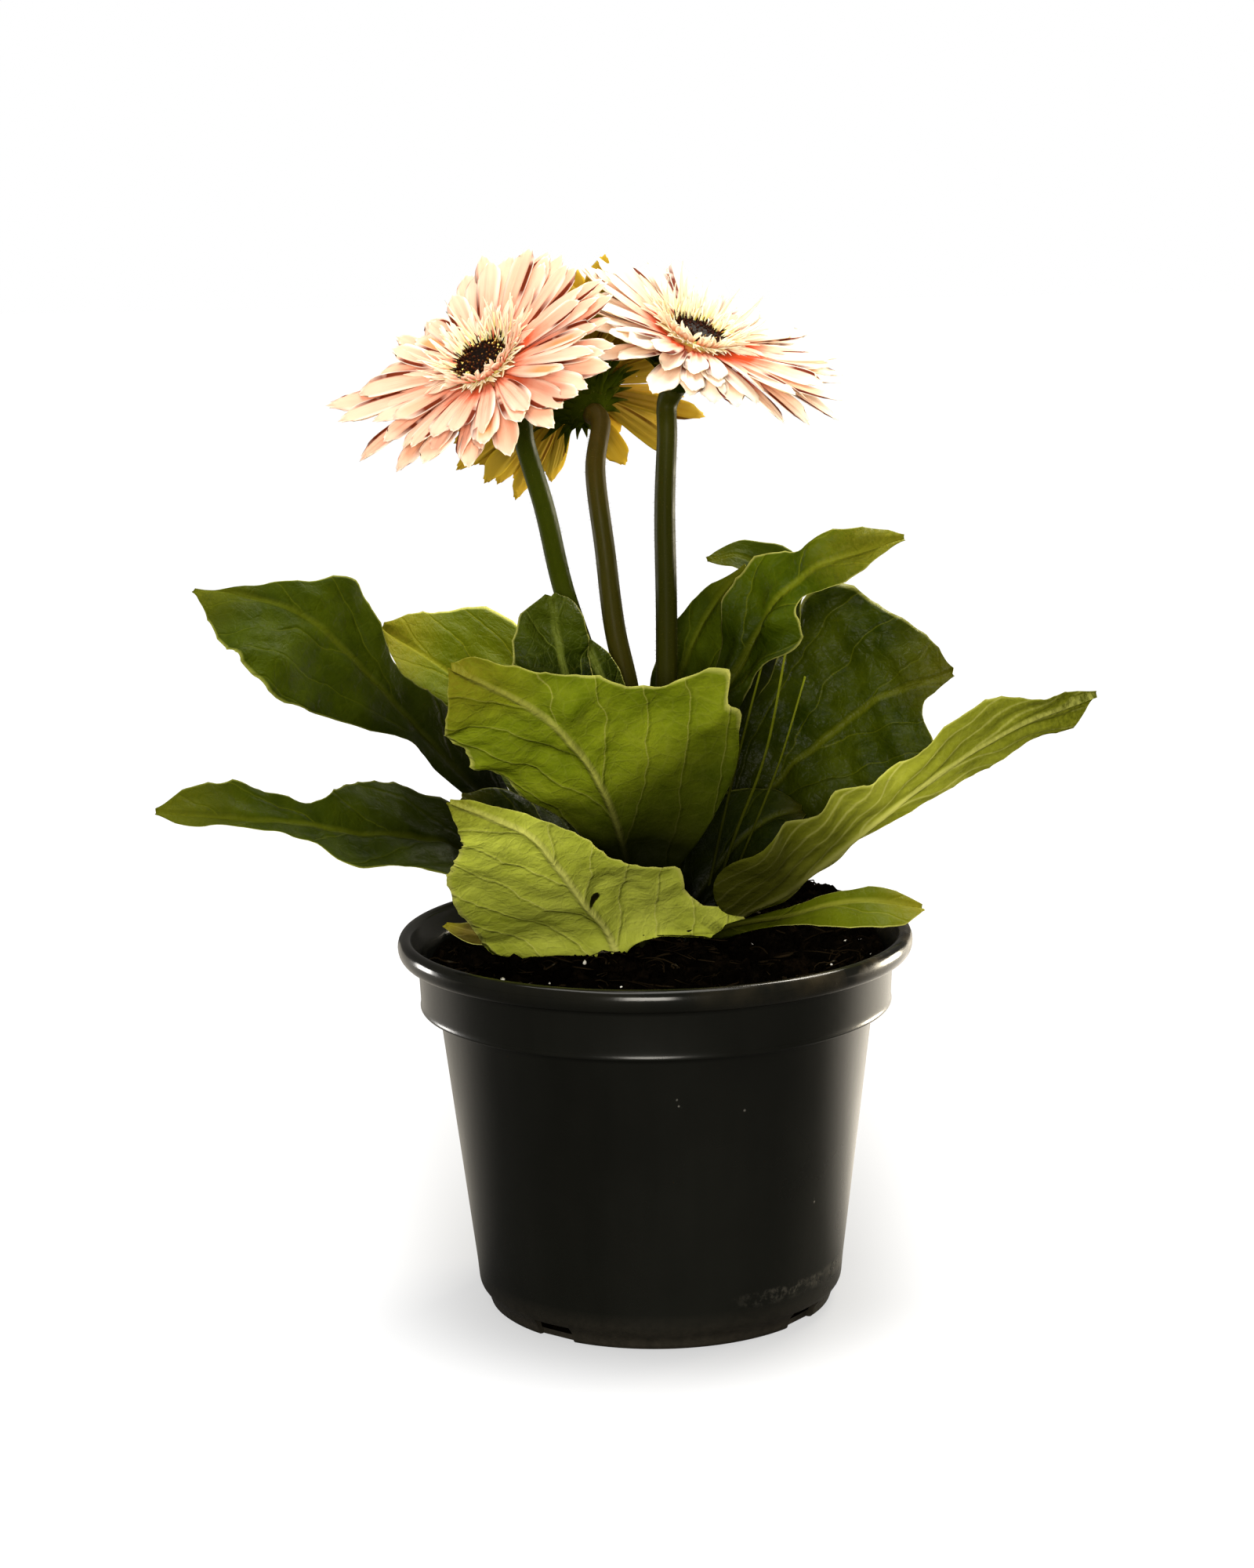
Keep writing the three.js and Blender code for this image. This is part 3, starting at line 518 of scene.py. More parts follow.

# %% [markdown]
# ## Leaf looks
# Leaves on one plant differ: fresh ones are bright and old ones are olive, and those that turn their backs
# are pale. The deep look, nearly black, is a painted shade for leaves that stand in the shadow of the crown,
# and the pale look's underside is brighter than the others, a painted light on the low front leaf that the
# leaf above shades. Each look has a finish for the upper face and one for the underside, given as the deep
# colour, the fresh colour and the colour of the veins.

# %% Leaf looks
PALE_VEIN = (0.42, 0.42, 0.09)
LOOK_SIZES = {
    "olive": (
        dict(deep=(0.016, 0.026, 0.0005), fresh=(0.052, 0.072, 0.0015), vein=(0.075, 0.09, 0.004),
             tip=(0.08, 0.086, 0.003), margin=(0.28, 0.3, 0.05)),
        dict(deep=(0.1, 0.11, 0.005), fresh=(0.18, 0.19, 0.014)),
    ),
    "fresh": (
        dict(deep=(0.065, 0.085, 0.001), fresh=(0.11, 0.135, 0.002), vein=(0.2, 0.21, 0.01)),
        dict(deep=(0.14, 0.165, 0.005), fresh=(0.23, 0.26, 0.012), through=0.35),
    ),
    "curled": (
        dict(deep=(0.028, 0.05, 0.0006), fresh=(0.1, 0.145, 0.002), vein=(0.18, 0.21, 0.01), rough=0.42,
             gloss=0.05, tip=(0.2, 0.19, 0.012), tip_wear_and_shade_from=0.72, relief=3.0),
        dict(deep=(0.1, 0.12, 0.004), fresh=(0.18, 0.2, 0.01), through=0.35),
    ),
    "bright": (
        dict(deep=(0.08, 0.1, 0.002), fresh=(0.14, 0.17, 0.005), vein=(0.25, 0.26, 0.03)),
        dict(deep=(0.12, 0.17, 0.003), fresh=(0.29, 0.35, 0.014), through=0.35, foot=(0.3, 0.42, 0.53),
             shaded=0.02),
    ),
    # painted light: this underside is brighter than the others and barely darkened at its foot, to lift a
    # shaded leaf
    "pale": (
        dict(deep=(0.16, 0.19, 0.012), fresh=(0.28, 0.31, 0.03), vein=(0.45, 0.45, 0.1)),
        dict(deep=(0.4, 0.46, 0.037), fresh=(0.68, 0.75, 0.1), vein=(0.75, 0.75, 0.2), through=0.35,
             tip=(0.14, 0.14, 0.008), shaded=0.75, hole=(2.7, 0.365)),
    ),
    "long": (
        dict(deep=(0.1, 0.12, 0.006), fresh=(0.2, 0.22, 0.02), vein=(0.4, 0.4, 0.1), spacing=6.0),
        # painted shade: the dark tip colour of this underside stands for the shaded upper face seen at the tip
        dict(deep=(0.28, 0.31, 0.014), fresh=(0.5, 0.53, 0.055), vein=(0.75, 0.75, 0.2), through=0.35,
             tip=(0.05, 0.06, 0.002), shaded=0.1, tip_wear_and_shade_from=0.58, spacing=6.0, foot=(0.36, 0.47, 0.57),
             raised=0.6),
    ),
    "dark": (
        dict(deep=(0.008, 0.016, 0.0003), fresh=(0.045, 0.058, 0.001), vein=(0.07, 0.08, 0.003), rough=0.36,
             through=0.2, gloss=0.05, margin=(0.25, 0.25, 0.05), tip=(0.06, 0.06, 0.004), relief=3.2),
        dict(deep=(0.1, 0.12, 0.008), fresh=(0.18, 0.2, 0.015)),
    ),
    # painted shade: nearly black colours stand for the shadow deep in the crown
    "deep": (
        dict(deep=(0.003, 0.006, 0.0002), fresh=(0.016, 0.022, 0.0008), vein=(0.03, 0.035, 0.002), rough=0.4,
             through=0.2, gloss=0.03, margin=(0.12, 0.13, 0.02), tip=(0.02, 0.02, 0.001)),
        dict(deep=(0.04, 0.05, 0.003), fresh=(0.08, 0.1, 0.006), vein=(0.2, 0.2, 0.04)),
    ),
    "young": (
        dict(deep=(0.004, 0.01, 0.0003), fresh=(0.055, 0.08, 0.002), vein=(0.17, 0.21, 0.03), rough=0.45,
             net=0.25, gloss=0.08, tip=(0.06, 0.08, 0.004), relief=3.5),
        dict(deep=(0.14, 0.18, 0.012), fresh=(0.25, 0.29, 0.03)),
    ),
    "spent": (
        dict(deep=(0.03, 0.026, 0.003), fresh=(0.09, 0.07, 0.008), vein=(0.14, 0.11, 0.02), rough=0.6,
             through=0.1),
        dict(deep=(0.05, 0.04, 0.005), fresh=(0.12, 0.09, 0.01), vein=(0.16, 0.13, 0.02)),
    ),
}
ABOVE, BELOW = dict(raised=-1.0), dict(vein=PALE_VEIN, rough=0.6)
LOOKS = {
    look: (leaf_finish(f"leaf {look} top", **ABOVE | upper), leaf_finish(f"leaf {look} under", **BELOW | lower))
    for look, (upper, lower) in LOOK_SIZES.items()
}
print("leaf looks:", ", ".join(LOOKS))

# %% [markdown]
# ## Leaf sizes
# A leaf rises from the crown on its own stalk and widens into a lobed blade about one strong rib. `rib` holds
# points along that rib, `faces` the way that the upper face looks at its foot and tip, and `blade` how far the
# left and right margins reach at places along the rib. `sweep` leans the left and right lobes towards the tip,
# by one angle or by several along the rib. `fold` lifts the two halves like an open book, `wave` ripples the
# margin, and `soft` is how far the lobes are rounded.

# %% Leaf sizes
LEAVES = {
    "left_high": dict(
        rib=[
            (-16, 16, 98), (-24, 13, 124), (-55, 4, 159), (-72, -4, 180), (-86, -10, 198), (-101, -14, 213),
            (-117, -16, 219), (-132, -16, 222),
        ],
        faces=[(0.35, -0.8, 0.5), (0.35, -0.6, 0.7)],
        blade=[
            (0.3, 5, 16), (0.4, 7, 12), (0.49, 25, 9), (0.55, 36, 11), (0.59, 38, 17), (0.66, 36, 21),
            (0.73, 31, 10), (0.8, 24, 6), (0.87, 15, 3), (0.94, 7, 0),
        ],
        sweep=(28, 5), fold=6, wave=0.8, look="olive",
    ),
    "left_behind": dict(
        rib=[(-13, 22.5, 98), (-19, 29, 135), (-44, 37, 172), (-60, 38, 186), (-82, 33, 202)],
        faces=[(0.5, -0.4, 0.75), (0.3, -0.6, 0.7)],
        blade=[
            (0.4, 17, 20), (0.5, 30, 26), (0.58, 29, 30), (0.66, 27, 31), (0.74, 25, 28), (0.82, 23, 20),
            (0.9, 15, 13), (0.96, 6, 6),
        ],
        sweep=(15, 15), fold=8, wave=1.5, look="fresh",
    ),
    "left_low": dict(
        rib=[
            (-18, 9.5, 98), (-27, 3, 122), (-55, -3, 139), (-70, -13, 146), (-90, -23, 150), (-102, -28, 154),
            (-121, -35, 157), (-143, -38, 160),
        ],
        faces=[(0.3, -0.5, 0.8), (0.1, -0.55, 0.8)],
        blade=[
            (0.24, 18, 13), (0.33, 24, 16), (0.41, 26, 21), (0.49, 17, 20), (0.57, 18, 13), (0.65, 8, 8),
            (0.71, 8, 7), (0.77, 7, 12), (0.84, 5, 14), (0.91, 8, 12), (0.96, 6, 7),
        ],
        sweep=(12, 12), fold=14, wave=0.6, look="olive",
    ),
    "front_centre": dict(
        rib=[
            (-2, 2, 98), (-6, -2, 124), (-10, -10, 146), (-15, -20, 162), (-22, -30, 175), (-34, -40, 189),
            (-56, -50, 202),
        ],
        faces=[(0, 0.85, 0.5), (-0.2, 0.85, 0.5)],
        blade=[
            (0.24, 26, 5), (0.29, 50, 11), (0.33, 56, 16), (0.36, 49, 22), (0.4, 58, 28), (0.46, 52, 28),
            (0.52, 38, 32), (0.6, 29, 34), (0.69, 24, 30), (0.78, 16, 31), (0.88, 11, 23), (0.95, 8, 10),
        ],
        sweep=(36, 25), fold=8, wave=0.6, look="bright", soft=2,
    ),
    "front_low": dict(
        rib=[(-9, 1, 98), (-14, -7, 115), (-21, -22, 128), (-28, -37, 142), (-37, -50, 155), (-57, -61, 166)],
        faces=[(-0.1, 0.85, 0.5), (-0.2, 0.85, 0.5)],
        blade=[
            (0.145, 8, 14), (0.16, 14, 33), (0.176, 27, 37), (0.19, 62, 38), (0.204, 34, 38), (0.235, 26, 38),
            (0.265, 27, 39), (0.288, 30, 40), (0.31, 27, 41), (0.37, 24, 41), (0.44, 19, 41), (0.52, 14, 36),
            (0.62, 12, 29), (0.72, 8, 23), (0.84, 5, 15), (0.94, 3, 6),
        ],
        sweep=(
            ((0.16, -32), (0.19, -30), (0.21, -20), (0.24, -10), (0.27, 0), (0.3, 6), (1, 8)),
            ((0.16, 4), (0.2, 14), (0.25, 26), (0.3, 34), (0.36, 38), (0.4, 40), (1, 40)),
        ),
        fold=6, wave=0.4, look="pale", soft=1,
    ),
    "right_low": dict(
        rib=[(10, 8, 98), (19, 4.5, 111), (41, -5, 119), (60, -8, 123.5), (80, -5, 120.5)],
        faces=[(0, -0.4, 0.9), (0.1, -0.5, 0.85)],
        blade=[
            (0.35, 3, 4), (0.45, 4, 4), (0.55, 4, 7), (0.64, 5, 13), (0.72, 5, 15), (0.8, 6, 14),
            (0.88, 5, 11), (0.95, 4, 6),
        ],
        sweep=(10, 20), fold=8, wave=0.4, look="bright",
    ),
    "right_long": dict(
        rib=[
            (12.5, 14.5, 98), (23, 9, 115), (39, 0, 125), (62, -2, 143), (86, 0, 161), (110, 3, 174),
            (133, 5, 182),
        ],
        faces=[(-0.4, 0.75, 0.5), (-0.45, 0.75, 0.5)],
        blade=[
            (0.25, 6, 29), (0.32, 4, 32), (0.39, 2, 25), (0.46, 3, 27), (0.53, 6, 17), (0.6, 8, 16),
            (0.66, 11, 20), (0.71, 12, 21), (0.77, 9, 17), (0.87, 11, 10), (0.94, 10, 4),
        ],
        sweep=(15, 35), fold=2, wave=0.8, look="long",
    ),
    "right_dark": dict(
        rib=[(9, 22.5, 98), (17, 25, 126), (30, 28, 144), (48, 30, 162), (70, 30, 178), (92, 28, 186)],
        faces=[(-0.4, -0.8, 0.4), (-0.35, -0.85, 0.35)],
        blade=[
            (0.3, 18, 10), (0.38, 25, 16), (0.46, 29, 23), (0.53, 32, 25), (0.59, 38, 27), (0.66, 46, 29),
            (0.73, 41, 26), (0.8, 27, 25), (0.87, 19, 7), (0.94, 10, 4),
        ],
        sweep=(32, 22), fold=8, wave=1.5, look="dark",
    ),
    "right_high": dict(
        rib=[
            (5, 16.5, 98), (10, 14, 140), (19, 10, 175), (32, 6, 203), (41, 2, 216), (54, -2, 225),
            (75, -5, 231),
        ],
        faces=[(-0.4, -0.75, 0.5), (-0.3, -0.75, 0.55)],
        blade=[
            (0.3, 6, 7), (0.36, 6, 7), (0.42, 11, 9), (0.48, 16, 17), (0.54, 16, 14), (0.6, 16, 9),
            (0.67, 12, 4), (0.74, 8, 9), (0.81, 10, 10), (0.88, 8, 9), (0.95, 5, 4),
        ],
        sweep=(25, 25), fold=6, wave=0.8, look="curled",
    ),
    "back_right": dict(
        rib=[
            (1.5, 23, 98), (10, 28, 140), (22, 33, 172), (36, 38, 200), (39, 39, 214), (28, 37, 222),
            (18, 35, 221),
        ],
        faces=[(-0.7, -0.3, 0.6), (-0.7, -0.5, 0.5), (0.2, -0.6, 0.8)],
        blade=[
            (0.3, 8, 10), (0.4, 13, 18), (0.5, 14, 20), (0.6, 12, 13), (0.7, 10, 9), (0.8, 8, 7), (0.92, 5, 4),
        ],
        sweep=(15, 15), fold=10, wave=1, look="olive",
    ),
    "back_centre": dict(
        rib=[(-5, 22, 98), (-2, 26, 140), (4, 25, 172), (11, 23, 192), (19, 22, 208), (29, 20, 221)],
        faces=[(-0.2, -0.8, 0.5), (-0.3, -0.8, 0.5)],
        blade=[(0.35, 7, 9), (0.48, 9, 13), (0.6, 10, 14), (0.72, 8, 12), (0.84, 5, 10), (0.93, 2, 6)],
        sweep=(20, 20), fold=8, wave=1, look="olive",
    ),
    "young_left": dict(
        rib=[(-10.5, 8.5, 98), (-13, 1, 140), (-19, -5, 168), (-25, -9, 193), (-28.5, -11, 217)],
        faces=[(0.3, -0.9, 0.3), (0.1, -0.9, 0.4)],
        blade=[(0.35, 5, 5), (0.47, 9, 8), (0.59, 14, 9), (0.71, 17, 10), (0.83, 15, 10), (0.94, 9, 8)],
        sweep=(25, 25), fold=-12, wave=0.8, look="young",
    ),
    "young_right": dict(
        rib=[(-4, 8.5, 98), (-6, 4, 140), (-10, 0, 175), (-14, -2, 190), (-19, -3, 203)],
        faces=[(0.3, -0.9, 0.3), (0.1, -0.9, 0.4)],
        blade=[(0.35, 4, 4), (0.52, 5, 7), (0.7, 6, 8), (0.88, 4, 5)], sweep=(25, 25), fold=-12, wave=0.6,
        look="young",
    ),
    "left_inner": dict(
        rib=[(-15, 3, 98), (-26, -3, 126), (-40, -8, 146), (-56, -12, 158)],
        faces=[(0.3, -0.6, 0.7), (0.3, -0.6, 0.7)],
        blade=[(0.4, 6, 6), (0.52, 9, 9), (0.64, 11, 11), (0.76, 10, 10), (0.88, 7, 7)], sweep=(15, 15), fold=8,
        wave=0.6, look="deep",
    ),
    "soil_left": dict(
        rib=[(-24, 14, 99), (-32, 12, 109), (-44, 9, 110.5), (-56, 13, 111.5), (-64, 17, 113)],
        faces=[(0, -0.3, 1), (0, -0.3, 1)],
        blade=[(0.3, 4, 4), (0.45, 5, 5), (0.6, 5, 5), (0.75, 4, 5), (0.9, 3, 3)], sweep=(15, 15), fold=4,
        wave=0.3, look="spent",
    ),
    "right_inner": dict(
        rib=[(5, 2, 98), (12, 6, 120), (24, 12, 136), (35, 15, 144), (45, 16, 147)],
        faces=[(-0.4, -0.6, 0.6), (-0.2, -0.6, 0.7)],
        blade=[(0.28, 12, 8), (0.38, 17, 15), (0.5, 18, 19), (0.62, 16, 18), (0.78, 11, 12), (0.9, 6, 7)],
        sweep=(20, 20), fold=6, wave=0.8, look="deep",
    ),
    "back_left": dict(
        rib=[(-9, 28.5, 98), (-18, 42, 122), (-34, 62, 143), (-50, 80, 150), (-60, 96, 148)],
        faces=[(0.2, -0.2, 1), (-0.1, 0.2, 1)],
        blade=[(0.3, 8, 8), (0.4, 17, 13), (0.5, 14, 17), (0.6, 21, 17), (0.7, 18, 22), (0.85, 12, 11)],
        sweep=(20, 20), fold=10, wave=2, look="olive",
    ),
    "back_low": dict(
        rib=[(-2, 29, 98), (0, 48, 122), (4, 74, 140), (6, 100, 146), (4, 120, 142)],
        faces=[(0, -0.3, 1), (0, 0.2, 1)],
        blade=[(0.3, 8, 8), (0.4, 15, 18), (0.5, 19, 14), (0.6, 16, 22), (0.7, 22, 18), (0.85, 11, 12)],
        sweep=(20, 20), fold=10, wave=2, look="bright",
    ),
    "back_far_right": dict(
        rib=[(6, 29.5, 98), (20, 44, 124), (42, 62, 146), (64, 78, 158), (82, 90, 158)],
        faces=[(-0.2, -0.2, 1), (0.1, 0.2, 1)],
        blade=[(0.3, 8, 8), (0.4, 16, 14), (0.5, 20, 18), (0.6, 16, 21), (0.7, 20, 17), (0.85, 12, 11)],
        sweep=(20, 20), fold=10, wave=2, look="olive",
    ),
}
print(len(LEAVES), "leaves")

# %% [markdown]
# ## Leaf form
# The solid has a section every 10 mm or so. Here the same sections come every 1.4 mm, so there is room for
# what makes a leaf look grown: fine teeth, a ruffled margin, blisters between the side veins, a groove above
# the rib and a keel below it. Where the blade runs out into the stalk, the flat section rounds off. Sculpting
# would give the same forms, but a formula gives nineteen different leaves from one set of sizes.

# %% Leaf outline
PETIOLE = 2.3
THIN = 0.5
VEIN_LEAN = 64
NARROWEST = 0.35


def smoothed(values, width):
    kernel = np.hanning(2 * int(width) + 3)
    padded = np.pad(values, len(kernel) // 2, mode="edge")
    return np.convolve(padded, kernel / kernel.sum(), mode="valid")


def along_rib(sweep, t):
    return np.interp(t, *zip(*sweep)) if np.ndim(sweep) else sweep + 0 * t


def leaf_frame(leaf, spacing):
    """The rib, the three directions of the leaf on it, how flat it is, and its reach to either side."""
    t, rib, along, distance = rib_along(leaf["rib"], spacing)
    start = leaf["blade"][0][0]
    stem = [(start * part, PETIOLE, PETIOLE) for part in (0, 0.35, 0.7)]
    places, *reaches = np.array([*stem, *leaf["blade"], (1, 0.7, 0.7)], float).T
    left, right = (smoothed(np.interp(t, places, reach), leaf.get("soft", 3)) for reach in reaches)
    flat = 1 - np.clip((start * 1.25 - t) / (start * 0.5), 0, 1)
    facing = np.array(leaf["faces"], float)
    steps = np.linspace(0, 1, len(facing))
    facing = unit(np.stack([np.interp(t, steps, facing[:, k]) for k in range(3)], 1))
    side = unit(np.cross(facing, along))
    return t, rib, along, side, np.cross(along, side), distance, flat, left, right


print("leaf stalks are", 2 * PETIOLE, "mm thick")

# %% [markdown]
# ## Leaf surface
# `size` runs from 0 at the rib to 1 at the margin, and `hand` is 1 on the left and -1 on the right. The columns
# crowd towards the rib, where the groove and the keel need them. The height of the surface is a sum: a slow
# ripple, a tight ruffle at the margin, blisters that follow the veins, and unevenness at two sizes. Young
# leaves are the most crumpled, so blisters and crinkles each have a height for each look.

# %% Leaf surface
BLISTERS = {"young": 3.4, "bright": 1.5, "dark": 2.2, "olive": 1.5, "curled": 3.2}
CRINKLES = {"dark": 1.3, "young": 2.0, "curled": 1.5, "olive": 0.5, "bright": 0.3}


def build_leaf(name, leaf, seed, spacing=1.4, half_columns=20):
    t, rib, along, side, up, distance, flat, left, right = leaf_frame(leaf, spacing)
    look = leaf["look"]
    down_t, distance, flat, up = t[:, None], distance[:, None], flat[:, None], up[:, None]

    c = np.linspace(1, -1, 2 * half_columns + 1)
    v = np.sign(c) * np.abs(c) ** 1.4
    size, hand = np.abs(v), np.where(v >= 0, 1, -1)
    out = np.where(hand > 0, left[:, None], right[:, None])
    teeth_at = distance / 7 + hand * 0.37 + 0.6 * np.sin(distance / 23 + seed)
    teeth = (np.abs(2 * (teeth_at % 1) - 1) ** 3 - 0.2) * np.clip(out / 12, 0, 1) * 0.7
    out = np.maximum(out + teeth * flat * size**5, NARROWEST)
    wide = np.clip(out / 12, 0, 1)

    left_sweep, right_sweep = (along_rib(sweep, t)[:, None] for sweep in leaf["sweep"])
    lean = np.radians(flat * np.where(hand > 0, left_sweep, right_sweep))
    reached = out * (flat * size + (1 - flat) * np.sin(np.pi / 2 * size))
    sideways, ahead = reached * np.cos(lean), reached * np.sin(lean)
    run = distance + ahead
    vein_spacing, vein_lean = (24.0, 76) if look == "long" else (VEIN_SPACING, VEIN_LEAN)
    vein = run + 3.5 * np.sin(run / 17 + 2 * seed) - sideways * math.tan(math.radians(vein_lean))
    vein = (vein - 0.012 * sideways**2) / vein_spacing

    ripple = leaf["wave"] * np.sin(17 * t + leaf["rib"][0][0])[:, None]
    ruffle = 0.8 * wide * size**3 * np.sin(run / 3.4 + hand * 1.9 + 2.5 * np.sin(run / 13 + seed))
    between_veins = 0.5 - 0.5 * np.cos(2 * np.pi * (vein + 0.45 * (hand > 0)))
    blister = BLISTERS.get(look, 1.1) * wide * between_veins * np.clip(sideways / 3, 0, 1) * (1 - size**4)
    groove = 0.4 * flat * np.exp(-((sideways / 1.1) ** 2))
    keel = flat * (2.0 - 1.7 * down_t) * np.exp(-((sideways / (0.5 + 1.1 * (1 - down_t))) ** 2))
    rise = np.radians(flat * leaf["fold"])
    lift = sideways * np.sin(rise) + flat * (wide * size**2 * hand * ripple + ruffle)
    sideways = sideways * np.cos(rise)

    round_off = PETIOLE * np.cos(np.pi / 2 * v)
    thin = 0.5 * THIN * np.sqrt(np.clip(1 - size**6, 0.02, 1))
    stalk_top = 0.85 * round_off - 0.5 * PETIOLE * np.exp(-((v / 0.3) ** 2))
    over = flat * (thin - groove) + (1 - flat) * stalk_top
    under = flat * (-thin - keel) - (1 - flat) * round_off

    base = rib[:, None] + side[:, None] * (hand * sideways)[..., None] + along[:, None] * ahead[..., None]
    base += up * lift[..., None]
    uneven = blister * (0.5 + 0.9 * wobble(base, 38, seed + 50))
    uneven += 1.3 * wobble(base, 26, seed) * np.clip(size * 2, 0, 1)
    uneven += CRINKLES.get(look, 0.15) * wobble(base, 11, seed + 90) * wide
    base += up * (flat * uneven)[..., None]

    def on_both(values):
        return np.tile(np.broadcast_to(values, base.shape[:2]).ravel(), 2)

    points = np.concatenate([base + up * height[..., None] for height in (over, under)]).reshape(-1, 3)
    faces, is_under = blade_faces(len(t), len(c))
    across = on_both(hand * sideways)
    marks = {"across": across, "vein": on_both(vein), "tip": on_both(down_t), "edge": on_both(size * flat)}
    sheet = np.stack([across, on_both(run)], 1) + (seed * 61.0, seed * 17.0)
    return make_piece(f"leaf_{name}", points, faces.tolist(), LOOKS[look], "leaf", is_under, marks, sheet)


print("blisters in mm:", BLISTERS)

# %% [markdown]
# ## Stalks of unopened leaves
# Thin stalks lean out of the crown between the big leaves. They are plain tubes with the fresh leaf finish.
# Their `tip` mark starts low, so the finish's painted crown shade darkens them towards the foot.

# %% Stalks of unopened leaves
STEM_PATHS = [
    [(12, 8, 104), (24, 4, 140), (34, -1, 168), (41, -2, 203)],
    [(14, 10, 104), (28, 6, 138), (38, 2, 164), (46, 2, 190)],
    [(12, 9, 104), (22, 5, 150), (30, 2, 182), (37, 3, 207)],
]
STEM_RADII = np.array([0.5, 0.4, 0.42])
STEM_SIDES = 7

part = np.linspace(0, 1, 26)
curves = np.stack([rib_curve(path, part) for path in STEM_PATHS])
points, faces = tubes(curves, STEM_RADII[:, None] * (1.15 - 0.4 * part), STEM_SIDES)
level = np.zeros(len(points))
# painted shade: the tip mark starts at 0.1, so the leaf finish darkens the lower stalks as if the crown shaded
# them
tip = np.tile(np.repeat(0.1 + 0.52 * part, STEM_SIDES), len(STEM_PATHS))
marks = {"across": level + 9, "vein": level + 0.5, "tip": tip, "edge": level}
make_piece("leaf_stems", points, faces, LOOKS["fresh"], "leaf", np.ones(len(faces)), marks, points[:, [0, 2]],
           stands_in=False)
print("thin stalks:", len(STEM_PATHS))

# %% [markdown]
# ## Build the leaves
# Leaves that are hardly seen get wider steps, which saves faces for the ones in front.

# %% Build the leaves
HIDDEN = ("back_left", "back_low", "back_far_right", "back_centre", "left_inner", "right_inner", "soil_left")
for number, (name, leaf) in enumerate(LEAVES.items()):
    build_leaf(name, leaf, number + 1, *((2.0, 14) if name in HIDDEN else ()))
leaf_faces = sum(len(o.data.polygons) for o in bpy.data.objects if o.name.startswith("fine_leaf"))
print("leaf faces:", leaf_faces)

# %% [markdown]
# ## Pot finish
# A thin nursery pot is moulded from black plastic. The black is never quite black: water marks, fingerprints
# and grains of compost cling to it, most of all in a band above the foot, and the right part of the rim is
# browner. All of these are noises and cell patterns laid over each other, because a painted image would need
# unwrapping and storing.

# %% Pot finish
pot_finish, tree, shader = new_finish("black plastic", IOR=1.5, Specular_IOR_Level=0.16)
spot = spot_in(tree)
to_right, _, height_up = xyz(spot)
smear = noise_of(spot, 9, 5, Roughness=0.6)
drips = noise_of(stretched(spot, 60, 60, 6), 1.6, 4)
dust = noise_of(spot, 420, 3, Roughness=0.7)
patchy = noise_of(spot, 75, 2).between(0.7, 0.76)
grain = cells_of(spot, 330, 1.0).between(0.05, 0.16, 1.0, 0.0) * patchy * 0.8
at_rim, at_foot = height_up.between(0.106, 0.1135), height_up.between(0.012, 0.003)
# a brown tone on the right part of the rim only, also a little rougher
rim_right_brown = at_rim * to_right.between(0.0, 0.065, 0.06, 1.0) * noise_of(spot, 55, 5).between(0.42, 0.62)
band = height_up.between(0.0165, 0.0155) * height_up.between(0.011, 0.013) * to_right.between(0.02, 0.034)
black = smear.ramp((0.3, (0.0018, 0.002, 0.0014)), (0.7, (0.0045, 0.0048, 0.0036)))
for share, colour in (
    (drips * 0.15, (0.02, 0.019, 0.016)), (rim_right_brown * 0.4, (0.07, 0.052, 0.026)),
    (at_foot * (dust * 0.5), (0.05, 0.042, 0.032)), (band * dust.between(0.45, 0.62), (0.035, 0.033, 0.027)),
    (grain, (0.4, 0.38, 0.34)),
):
    black = blend(share, black, colour)
dull = smear.between(0.3, 0.7, 0.2, 0.32) + grain * 0.3 + rim_right_brown * 0.25 + at_rim * -0.12
fill(shader, {"Base Color": black, "Roughness": dull})
bump(shader, dust * 0.25 + grain + smear * 0.4, 0.35, 0.25)
print("pot finish:", len(tree.nodes), "nodes")

# %% [markdown]
# ## Pot form
# The rim is rolled outwards, a collar below the rim stops stacked pots from jamming, and four notches in the
# foot let water out. The pot is turned from the solid's own profile with the corners rounded off, and the
# notches are cut with a Boolean modifier, which is the surest way to get clean walls in a thin shell.

# %% Pot profile
POT_OUTSIDE = [
    (0, 0), (52.1, 0), (52.6, 3.2), (55.3, 6.4), (55.9, 13), (65.4, 91.6), (69.6, 92.4), (70.9, 92.6),
    (71.1, 93.2), (70.8, 94.2), (71.4, 107.2), (75.4, 107.4), (77, 109), (77.5, 111.6), (76.7, 113.9),
    (75.1, 114.6), (73.4, 113.9), (72.6, 112),
]
POT_INSIDE = [(69.8, 107.6), (69.4, 94.2), (64, 92.4), (54.5, 13), (51.2, 4), (50.6, 1.6), (0, 1.6)]
CORNER_RADIUS = 1.6
POT_SIDES = 160


def rounded(profile, radius, steps=4):
    """The same profile with every corner that has room rounded off."""
    made = [profile[0]]
    for corners in zip(profile, profile[1:], profile[2:]):
        a, b, c = (np.array(corner, float) for corner in corners)
        reaches = [min(radius, 0.45 * np.linalg.norm(far - b)) for far in (a, c)]
        start, end = (b + (far - b) * cut / np.linalg.norm(far - b) for far, cut in zip((a, c), reaches))
        for w in np.linspace(0, 1, steps):
            made.append(tuple((1 - w) ** 2 * start + 2 * w * (1 - w) * b + w**2 * end))
    return [*made, profile[-1]]


points, faces = lathe(rounded(POT_OUTSIDE + POT_INSIDE, CORNER_RADIUS), POT_SIDES)
pot = make_piece("pot", points, faces, [pot_finish], "pot")
pot_mesh = bmesh.new()
pot_mesh.from_mesh(pot.data)
